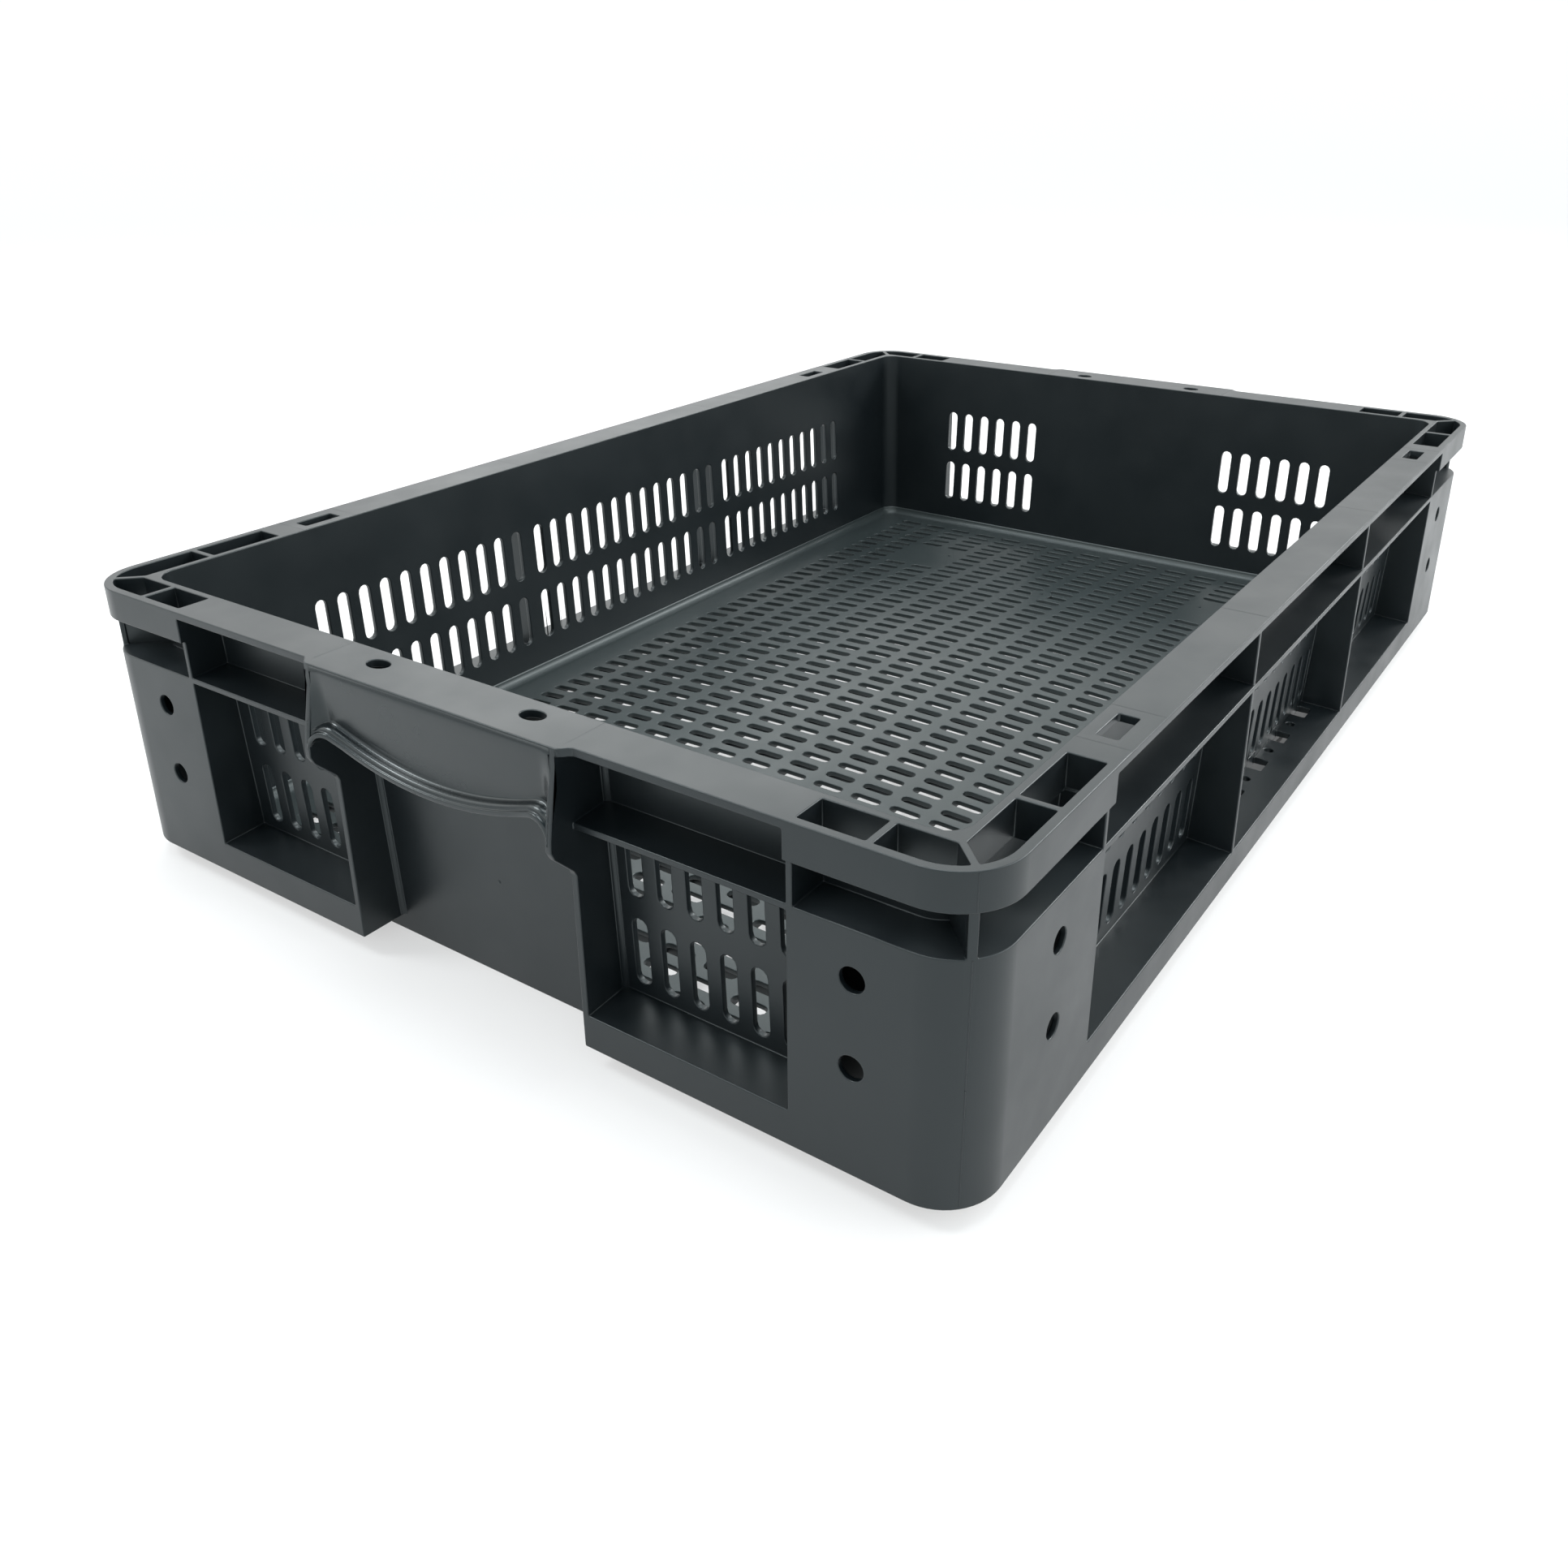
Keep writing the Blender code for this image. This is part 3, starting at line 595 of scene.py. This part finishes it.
def vents():
    bm = bmesh.new()
    end = [END_VENT_FIRST + VENT_PITCH * i for i in range(END_VENT_COLUMNS)]
    side = [VENT_PITCH * i for i in range(MIDDLE_VENT_COLUMNS)]
    side += [SIDE_VENT_FIRST + VENT_PITCH * i for i in range(SIDE_VENT_COLUMNS)]
    for low, high in VENT_ROWS:
        middle = (low + high) / 2
        cut = 3.5 * MM
        for y in end:
            slot = stadium((-y, middle), VENT_WIDTH, high - low)
            prism(bm, slot, 0, -inner_x(middle) - WALL - cut, -inner_x(middle) + cut)
        lift = SIDE_LIFT if low > VENT_ROWS[0][0] else 0
        for x in side:
            slot = stadium((-x, middle + lift), VENT_WIDTH, high - low)
            prism(bm, slot, 1, -inner_y(middle) - WALL - cut, -inner_y(middle) + cut)
    return bm


def drains():
    """The row of holes in the side ledge's middle bay."""
    bm = bmesh.new()
    low, high = LEDGE_TOP - 2 * SKIN, LEDGE_TOP + 2 * SKIN
    for i in range(5):
        centre = (-i * DRAIN_PITCH, -DRAIN_Y)
        if i % 2 == 0:
            prism(bm, rounded_box(centre, DRAIN_BIG[0], DRAIN_BIG[1], HOLE_CORNER, 2), 2, low, high)
        else:
            prism(bm, ellipse(centre, DRAIN_SMALL_RADIUS, DRAIN_SMALL_RADIUS, 12), 2, low, high)
    return bm


def clean(item):
    """Merges what the Booleans left a hair apart, and joins the flat faces they split."""
    bm = bmesh.new()
    bm.from_mesh(item.data)
    bmesh.ops.remove_doubles(bm, verts=bm.verts, dist=MERGE)
    bmesh.ops.dissolve_degenerate(bm, edges=bm.edges, dist=MERGE)
    bmesh.ops.dissolve_limit(bm, angle_limit=math.radians(0.4), verts=bm.verts, edges=bm.edges)
    bm.to_mesh(item.data)
    bm.free()


def soften_edges(item, radius, steps):
    bevel = item.modifiers.new("Edges", "BEVEL")
    bevel.width = radius
    bevel.segments = steps
    bevel.limit_method = "ANGLE"
    bevel.angle_limit = SHARP
    bevel.use_clamp_overlap = False
    bevel.loop_slide = False
    bevel.miter_outer = "MITER_ARC"
    apply_modifiers(item)


def cut_at_middle(item):
    """Cuts the quarter at the middle planes, open, ready to mirror."""
    bm = bmesh.new()
    bm.from_mesh(item.data)
    for normal in ((1, 0, 0), (0, 1, 0)):
        everything = bm.verts[:] + bm.edges[:] + bm.faces[:]
        bmesh.ops.bisect_plane(bm, geom=everything, dist=0.001 * MM, plane_co=(0, 0, 0),
                               plane_no=normal, clear_outer=True)
    bm.to_mesh(item.data)
    bm.free()


def mirror(item, in_x=True):
    step = item.modifiers.new("Mirror", "MIRROR")
    step.use_axis = (in_x, True, False)
    step.use_clip = True
    step.merge_threshold = 0.00001
    apply_modifiers(item)


def shade(item):
    """Smooth shading that keeps large flat faces flat."""
    item.data.shade_smooth()
    step = item.modifiers.new("Normals", "WEIGHTED_NORMAL")
    step.weight = 90
    step.keep_sharp = True


def crate_body():
    body = temp(rim_flange())
    combine(body, [temp(rim_skirt())], "UNION")
    combine(body, [temp(rim_pockets()), temp(rim_holes())], "DIFFERENCE")
    post = temp(post_block())
    combine(post, [temp(post_hollow()), temp(post_gap()), temp(post_holes())], "DIFFERENCE")
    ribs = [temp(bm) for bm in ribs_of_the_bays()]
    walls = [temp(basin(WALL, 0, HEIGHT - EMBED)), post, temp(cheek())]
    combine(body, walls + ribs, "UNION")
    combine(body, [temp(basin(0, -CLEAR, HEIGHT + CLEAR)), temp(vents()), temp(drains())], "DIFFERENCE")
    clean(body)
    soften_edges(body, EDGE_RADIUS, EDGE_STEPS)
    combine(body, [temp(rim_lines())], "DIFFERENCE")
    add_shells(body, parting_lines())
    add_shells(body, cheek_fillets())
    add_shells(body, gap_web())
    cut_at_middle(body)
    mirror(body)
    marks = bmesh.new()
    for side in (-1, 1):
        place = Matrix.Translation((side * outer_x(WALL_MARK[1]), side * WALL_MARK[0], WALL_MARK[1]))
        low = place @ Matrix.Diagonal((0.4, 1, 1, 1))
        bmesh.ops.create_uvsphere(marks, u_segments=16, v_segments=10, radius=0.7 * MM, matrix=low)
    add_shells(body, marks)
    body.name = "crate_body"
    shade(body)
    return body


# ---------------------------------------------------------------- floor

def slot_centres():
    """Slots in the -X, -Y quarter, without the blank patch."""
    centres = []
    for i in range(SLOT_COUNT[0] // 2):
        for j in range(SLOT_COUNT[1] // 2):
            x = SLOT_PITCH[0] * (i + 0.5)
            y = SLOT_PITCH[1] * (j + 0.5)
            across = abs(x - BLANK_CENTRE[0]) < BLANK_COLUMNS * SLOT_PITCH[0] / 2
            along = abs(y - BLANK_CENTRE[1]) < SLOT_PITCH[1]
            if not (across and along):
                centres.append((-x, -y))
    return centres


def cove_line(inset, steps=6):
    """The quarter's line at a distance inside the wall's inner face at floor height."""
    half_x = inner_x(FLOOR_EDGE_TOP) - inset
    half_y = inner_y(FLOOR_EDGE_TOP) - inset
    radius = max(INNER_RADIUS - inset, 0.5 * MM)
    centre = (-half_x + radius, -half_y + radius)
    along = [(centre[0] * k / STRAIGHT_STEPS, -half_y) for k in range(STRAIGHT_STEPS)]
    up = [(-half_x, centre[1] * (1 - k / STRAIGHT_STEPS)) for k in range(1, STRAIGHT_STEPS + 1)]
    return along + arc(centre, radius, 270, 180, steps) + up


def pierced_floor():
    """The floor's quarter: a slotted sheet, bowed, with a cove up to the walls all round."""
    bm = bmesh.new()
    centres = slot_centres()
    levels = (
        (SLOT_EDGE, 0.0),
        (SLOT_EDGE * 0.3, SLOT_EDGE * 0.3),
        (0.0, SLOT_EDGE),
        (0.0, FLOOR_THICKNESS - SLOT_EDGE),
        (SLOT_EDGE, FLOOR_THICKNESS),
    )

    def vert(x, y, depth, lift=0.0):
        return bm.verts.new((x, y, FLOOR_EDGE_TOP + crown(x, y) - depth + lift))

    edge_line = cove_line(COVE)
    down = [(0, edge_line[0][1] * k / STRAIGHT_STEPS) for k in range(STRAIGHT_STEPS)]
    back = [(edge_line[-1][0] * (1 - k / STRAIGHT_STEPS), 0) for k in range(1, STRAIGHT_STEPS)]
    edge_part = slice(len(down), len(down) + len(edge_line))
    loops_top = [[vert(x, y, 0.0) for x, y in down + edge_line + back]]
    loops_low = [[vert(x, y, FLOOR_THICKNESS) for x, y in down + edge_line + back]]
    for centre in centres:
        rings = []
        for grow, depth in levels:
            outline = stadium(centre, SLOT_SIZE[0] + 2 * grow, SLOT_SIZE[1] + 2 * grow, 5)
            rings.append([vert(x, y, depth) for x, y in outline])
        join(bm, rings)
        loops_top.append(rings[0])
        loops_low.append(rings[-1])

    flat = [v for loop in loops_top for v in loop]
    flat_low = [v for loop in loops_low for v in loop]
    edges = []
    start = 0
    for loop in loops_top:
        count = len(loop)
        edges += [(start + i, start + (i + 1) % count) for i in range(count)]
        start += count
    points = [Vector((v.co.x, v.co.y)) for v in flat]
    out = delaunay_2d_cdt(points, edges, [], 1, 1e-7, True)
    out_points, triangles, origin = out[0], out[2], out[3]
    half = (SLOT_SIZE[0] / 2 + SLOT_EDGE, SLOT_SIZE[1] / 2 + SLOT_EDGE)
    pitch_x, pitch_y = SLOT_PITCH
    holes = {(round(-x / pitch_x - 0.5), round(-y / pitch_y - 0.5)) for x, y in centres}
    for triangle in triangles:
        x = sum(out_points[k].x for k in triangle) / 3
        y = sum(out_points[k].y for k in triangle) / 3
        cell = (math.floor(-x / pitch_x), math.floor(-y / pitch_y))
        dx = abs(-x - (cell[0] + 0.5) * pitch_x)
        dy = abs(-y - (cell[1] + 0.5) * pitch_y)
        reach = math.hypot(dx, max(0.0, dy - (half[1] - half[0])))
        if cell in holes and reach < half[0] * 0.999:
            continue
        top = [flat[origin[k][0]] for k in triangle]
        low = [flat_low[origin[k][0]] for k in triangle]
        bm.faces.new(top)
        bm.faces.new(list(reversed(low)))

    previous_top = loops_top[0][edge_part]
    for k in range(1, 9):
        angle = math.radians(90 * k / 8)
        inset = COVE * (1 - math.sin(angle))
        lift = COVE * (1 - math.cos(angle))
        line = cove_line(inset)
        current = [vert(x, y, 0.0, lift) for x, y in line]
        for i in range(len(line) - 1):
            bm.faces.new((previous_top[i], previous_top[i + 1], current[i + 1], current[i]))
        previous_top = current
    wide, deep = INTO_WALLS
    buried = [bm.verts.new((v.co.x * wide, v.co.y * deep, v.co.z)) for v in previous_top]
    foot = [bm.verts.new((v.co.x, v.co.y, FLOOR_EDGE_TOP - FLOOR_THICKNESS)) for v in buried]
    outer_low = loops_low[0][edge_part]
    for i in range(len(buried) - 1):
        bm.faces.new((previous_top[i], previous_top[i + 1], buried[i + 1], buried[i]))
        bm.faces.new((buried[i], buried[i + 1], foot[i + 1], foot[i]))
        bm.faces.new((foot[i], foot[i + 1], outer_low[i + 1], outer_low[i]))

    floor = mesh_object("pierced_floor", bm)
    mirror(floor)
    marks = bmesh.new()
    for side in (-1, 1):
        x = side * GATE_X
        level = FLOOR_EDGE_TOP + crown(x, 0)
        button(marks, (x, 0, level), GATE_RADIUS, 0.18 * MM)
        button(marks, (x, 0, level), 1 * MM, 0.7 * MM)
        for along in (-1, 1):
            x, y = side * NUB[0], along * NUB[1]
            button(marks, (x, y, FLOOR_EDGE_TOP + crown(x, y)), 0.8 * MM, 0.5 * MM)
    add_shells(floor, marks)
    shade(floor)
    return floor


def rib_bar(bm, along_x, level, depth):
    """One bowed rib under the floor, narrower at its lower edge."""
    reach = (INNER_X if along_x else INNER_Y) + EMBED
    count = 24 if along_x else 18
    rings = []
    for i in range(count + 1):
        s = reach * (2 * i / count - 1)
        x, y = (s, level) if along_x else (level, s)
        root = FLOOR_EDGE_TOP - FLOOR_THICKNESS + EMBED / 2 + crown(x, y)
        low = FLOOR_EDGE_TOP - FLOOR_THICKNESS - depth + crown(x, y)
        section = (
            (-RIB_ROOT / 2, root), (-RIB_TIP / 2, low + RIB_CHAMFER), (-RIB_TIP / 2 + RIB_CHAMFER, low),
            (RIB_TIP / 2 - RIB_CHAMFER, low), (RIB_TIP / 2, low + RIB_CHAMFER), (RIB_ROOT / 2, root),
        )
        if along_x:
            rings.append([(s, level + w, z) for w, z in section])
        else:
            rings.append([(level + w, s, z) for w, z in section])
    loft(bm, rings)


def rib_grid():
    """The crossed ribs: one between every second column and between all rows of slots."""
    bm = bmesh.new()
    pitch_x = 2 * SLOT_PITCH[0]
    for i in range(-int(INNER_X / pitch_x), int(INNER_X / pitch_x) + 1):
        rib_bar(bm, False, i * pitch_x, RIB_DEPTH)
    pitch_y = SLOT_PITCH[1]
    for j in range(-int(INNER_Y / pitch_y), int(INNER_Y / pitch_y) + 1):
        rib_bar(bm, True, j * pitch_y, RIB_DEPTH - 0.2 * MM)
    grid = mesh_object("rib_grid", bm)
    shade(grid)
    return grid


# ---------------------------------------------------------------- hand holds

def lip_edge():
    """The lip's lower edge from the middle to the cheek, as (y, z, outward normal in y, in z)."""
    stations = []
    for i in range(17):
        y = LIP_SHOULDER * i / 16
        z = LIP_LOW + LIP_RISE * (y / LIP_SHOULDER) ** 2
        slope = 2 * LIP_RISE * y / LIP_SHOULDER ** 2
        length = math.hypot(1, slope)
        stations.append((y, z, -slope / length, 1 / length))
    slope = math.atan(2 * LIP_RISE / LIP_SHOULDER)
    radius = (CHEEK_Y[0] + 0.3 * MM - LIP_SHOULDER) / (1 + math.sin(slope))
    centre = (LIP_SHOULDER + radius * math.sin(slope), LIP_LOW + LIP_RISE - radius * math.cos(slope))
    for i in range(1, 15):
        angle = math.pi / 2 + slope - (math.pi / 2 + slope) * i / 14
        ny, nz = math.cos(angle), math.sin(angle)
        stations.append((centre[0] + radius * ny, centre[1] + radius * nz, ny, nz))
    return stations


def smooth_line(points, steps=3):
    """A Catmull-Rom line through the points."""
    line = []
    for i in range(len(points) - 1):
        p = [Vector(points[max(0, min(len(points) - 1, i + k))]) for k in (-1, 0, 1, 2)]
        linear = p[2] - p[0]
        square = 2 * p[0] - 5 * p[1] + 4 * p[2] - p[3]
        cubic = 3 * p[1] - p[0] - 3 * p[2] + p[3]
        for s in range(steps):
            t = s / steps
            line.append(0.5 * ((2 * p[1]) + linear * t + square * t * t + cubic * t ** 3))
    return line + [Vector(points[-1])]


def fascia_face(z):
    """Where the fascia's flat front stands at height z."""
    (x_top, z_top), (x_low, z_low) = FASCIA_FRONT
    share = (z - z_low) / (z_top - z_low)
    return x_low + (x_top - x_low) * max(0.0, min(1.0, share))


def cheek_face(z):
    """Where the cheek's front edge stands at height z."""
    for (x_high, high), (x_low, low) in zip(CHEEK_FRONT, CHEEK_FRONT[1:]):
        if low <= z <= high:
            return x_low + (x_high - x_low) * (z - low) / (high - low)
    return CHEEK_FRONT[0][0]


def ease(value, start, end):
    """0 before start and 1 after end, with a soft step between them."""
    share = max(0.0, min(1.0, (value - start) / (end - start)))
    return share * share * (3 - 2 * share)


def hand_hold(name, side):
    """The curved front plate of a hand hold, with its turned-out lip, rounded into the cheeks."""
    profile = smooth_line([(x * MM, h * MM) for x, h in LIP_PROFILE])
    top = FASCIA_TOP
    limit = CHEEK_Y[0] + 1.2 * MM    # where the fascia ends, inside the cheek
    steps = 8

    def plate(y, height):
        face = fascia_face(height)
        fillet = ease(y, CHEEK_Y[0] - 4.5 * MM, limit)
        return face + max(0.0, cheek_face(height) + 0.04 * MM - face) * fillet

    rings = []
    for y, z, ny, nz in lip_edge():
        start = z + nz * profile[0][1]
        inner = min(y + ny * profile[0][1], limit)
        ring = []
        for k in range(steps):
            share = k / steps
            w, height = y + (inner - y) * share, top + (start - top) * share
            ring.append((-plate(w, height), w, height))
        for out, inward in profile:
            w, height = min(y + ny * inward, limit), z + nz * inward
            face = fascia_face(height)
            reach = cheek_face(height) + 0.03 * MM - face
            flow = ease(w, CHEEK_Y[0] - 15 * MM, CHEEK_Y[0] - 0.5 * MM)
            if out < 0:
                ring.append((-face - out, w, height))
            else:
                turned_out = face + out * (1 + (reach / LIP_REACH - 1) * flow)
                ring.append((-max(turned_out, plate(w, height)), w, height))
        ring.append((-fascia_face(top) + FASCIA_WALL, y, top))
        rings.append([(-side * x, -w, h) for x, w, h in ring])
    bm = bmesh.new()
    made = [[bm.verts.new(point) for point in ring] for ring in rings]
    join(bm, made)
    bm.faces.new(made[-1])
    piece = mesh_object(name, bm)
    mirror(piece, in_x=False)
    shade(piece)
    return piece


# ---------------------------------------------------------------- materials

def moulded_plastic(name, colour, roughness, grain):
    """Satin polypropylene: a faint tool texture, slow flow marks, and light scuffs on the surface."""
    made = bpy.data.materials.new(name)
    made.use_nodes = True
    tree = made.node_tree
    shader = tree.nodes["Principled BSDF"]
    shader.inputs["IOR"].default_value = 1.49
    shader.inputs["Specular IOR Level"].default_value = 0.5
    shader.inputs["Specular Tint"].default_value = (0.88, 0.98, 1.0, 1)

    def node(kind, **values):
        item = tree.nodes.new(kind)
        for key, value in values.items():
            item.inputs[key].default_value = value
        return item

    coordinates = tree.nodes.new("ShaderNodeTexCoord")
    flow = node("ShaderNodeTexNoise", Scale=9.0, Detail=3.0, Roughness=0.55)
    tree.links.new(coordinates.outputs["Object"], flow.inputs["Vector"])
    tone = tree.nodes.new("ShaderNodeValToRGB")
    tone.color_ramp.elements[0].position = 0.3
    tone.color_ramp.elements[1].position = 0.7
    tone.color_ramp.elements[0].color = [c * 0.9 for c in colour] + [1]
    tone.color_ramp.elements[1].color = [c * 1.1 for c in colour] + [1]
    tree.links.new(flow.outputs["Fac"], tone.inputs["Fac"])
    tree.links.new(tone.outputs["Color"], shader.inputs["Base Color"])

    scuffs = node("ShaderNodeTexNoise", Scale=38.0, Detail=3.0, Roughness=0.5)
    tree.links.new(coordinates.outputs["Object"], scuffs.inputs["Vector"])
    sheen = tree.nodes.new("ShaderNodeMapRange")
    sheen.inputs["From Min"].default_value = 0.3
    sheen.inputs["From Max"].default_value = 0.7
    sheen.inputs["To Min"].default_value = roughness - 0.03
    sheen.inputs["To Max"].default_value = roughness + 0.05
    tree.links.new(scuffs.outputs["Fac"], sheen.inputs["Value"])
    tree.links.new(sheen.outputs["Result"], shader.inputs["Roughness"])

    texture = node("ShaderNodeTexNoise", Scale=2600.0, Detail=1.0, Roughness=0.5)
    tree.links.new(coordinates.outputs["Object"], texture.inputs["Vector"])
    sink = node("ShaderNodeTexNoise", Scale=20.0, Detail=1.0, Roughness=0.5)
    tree.links.new(coordinates.outputs["Object"], sink.inputs["Vector"])
    fine = node("ShaderNodeBump", Strength=grain, Distance=0.00002)
    slow = node("ShaderNodeBump", Strength=0.12, Distance=0.0006)
    tree.links.new(texture.outputs["Fac"], fine.inputs["Height"])
    tree.links.new(sink.outputs["Fac"], slow.inputs["Height"])
    tree.links.new(fine.outputs["Normal"], slow.inputs["Normal"])
    tree.links.new(slow.outputs["Normal"], shader.inputs["Normal"])
    return made


# ---------------------------------------------------------------- stage

def stage_floor():
    """A round sweep of pale, softly lit paper: flat under the object, rising in a curve far away."""
    steps, around = 10, 96
    profile = []
    for i in range(steps + 1):
        angle = math.pi / 2 * i / steps
        profile.append((PAPER_FLAT + PAPER_RISE * math.sin(angle), PAPER_RISE * (1 - math.cos(angle))))
    bm = bmesh.new()
    rings = []
    for radius, z in profile:
        rings.append([bm.verts.new((x, y, z - 0.2 * MM)) for x, y in ellipse((0, 0), radius, radius, around)])
    bm.faces.new(rings[0])
    join(bm, rings)
    sweep = mesh_object("paper_sweep", bm)
    sweep.data.shade_smooth()
    paint = bpy.data.materials.new("paper")
    paint.use_nodes = True
    tree = paint.node_tree
    shader = tree.nodes["Principled BSDF"]
    shader.inputs["Roughness"].default_value = 0.9
    shader.inputs["Base Color"].default_value = PAPER + (1,)
    shader.inputs["Emission Color"].default_value = (1, 1, 1, 1)
    shader.inputs["Emission Strength"].default_value = PAPER_GLOW
    sweep.data.materials.append(paint)


def area_light(name, place, target, size, power):
    lamp = bpy.data.lights.new(name, "AREA")
    lamp.shape = "RECTANGLE"
    lamp.size, lamp.size_y = size
    lamp.energy = power
    item = bpy.data.objects.new(name, lamp)
    bpy.context.scene.collection.objects.link(item)
    item.location = place
    item.rotation_euler = (Vector(target) - Vector(place)).to_track_quat("-Z", "Y").to_euler()


def lights():
    area_light("overhead", (0.1, 0.05, 1.8), (0, 0, 0), (1.3, 1.0), 30)
    area_light("key", (0.7, -1.7, 1.0), (0.0, -0.3, 0), (1.6, 1.0), 18)
    area_light("edge_left", (-0.85, 1.1, 1.6), (-0.2, 0, 0.08), (0.5, 0.5), 14)
    area_light("edge_right", (1.7, -0.9, 1.15), (0, -0.1, 0.08), (0.6, 0.6), 21)
    area_light("back", (1.1, 1.2, 0.9), (-0.1, 0, 0.05), (0.9, 0.6), 2.5)
    world = bpy.data.worlds.new("studio")
    bpy.context.scene.world = world
    world.use_nodes = True
    tree = world.node_tree
    place = tree.nodes.new("ShaderNodeTexCoord")
    parts = tree.nodes.new("ShaderNodeSeparateXYZ")
    sky = tree.nodes.new("ShaderNodeValToRGB")
    while len(sky.color_ramp.elements) < len(SKY):
        sky.color_ramp.elements.new(0.5)
    for element, (height, shade_of_sky) in zip(sky.color_ramp.elements, SKY):
        element.position = height
        element.color = shade_of_sky + (1,)
    background = tree.nodes["Background"]
    background.inputs["Strength"].default_value = SKY_STRENGTH
    tree.links.new(place.outputs["Generated"], parts.inputs["Vector"])
    tree.links.new(parts.outputs["Z"], sky.inputs["Fac"])
    tree.links.new(sky.outputs["Color"], background.inputs["Color"])


def camera():
    lens = bpy.data.cameras.new("camera")
    lens.sensor_width = 36
    lens.lens = LENS
    lens.shift_x, lens.shift_y = LENS_SHIFT
    lens.clip_start = 0.01
    item = bpy.data.objects.new("camera", lens)
    bpy.context.scene.collection.objects.link(item)
    turn = Vector(CAMERA_FORWARD).to_track_quat("-Z", "Y").to_matrix().to_4x4()
    item.matrix_world = Matrix.Translation(CAMERA_PLACE) @ turn @ Matrix.Rotation(CAMERA_ROLL, 4, "Z")
    bpy.context.scene.camera = item


def main():
    camera()
    plastic = moulded_plastic("crate_plastic", *PLASTIC)
    # The floor gets a lighter copy of the crate's plastic: painted light from overhead.
    floor_painted_light = moulded_plastic("floor_plastic_painted_light", *FLOOR_PLASTIC_PAINTED_LIGHT)
    polished = moulded_plastic("fascia_plastic", *FASCIA_PLASTIC)
    body = crate_body()
    floor = pierced_floor()
    grid = rib_grid()
    holds = [hand_hold("hand_hold_left", -1), hand_hold("hand_hold_right", 1)]
    names = list(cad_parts)
    fascias = [name for name in names if name.startswith("handle_fascia")]
    rest = [name for name in names if name not in fascias + ["floor_panel", "underside_ribs"]]
    for piece, nodes, slot, look in (
        (body, rest, "crate_plastic", plastic),
        (floor, ["floor_panel"], "crate_plastic", floor_painted_light),
        (grid, ["underside_ribs"], "crate_plastic", plastic),
        (holds[0], ["handle_fascia_left"], "fascia_plastic", polished),
        (holds[1], ["handle_fascia_right"], "fascia_plastic", polished),
    ):
        piece.data.materials.clear()
        piece.data.materials.append(look)
        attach(piece, "root")
        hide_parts(*nodes)
    stage_floor()
    lights()
    bpy.context.scene.view_settings.view_transform = "Standard"


main()
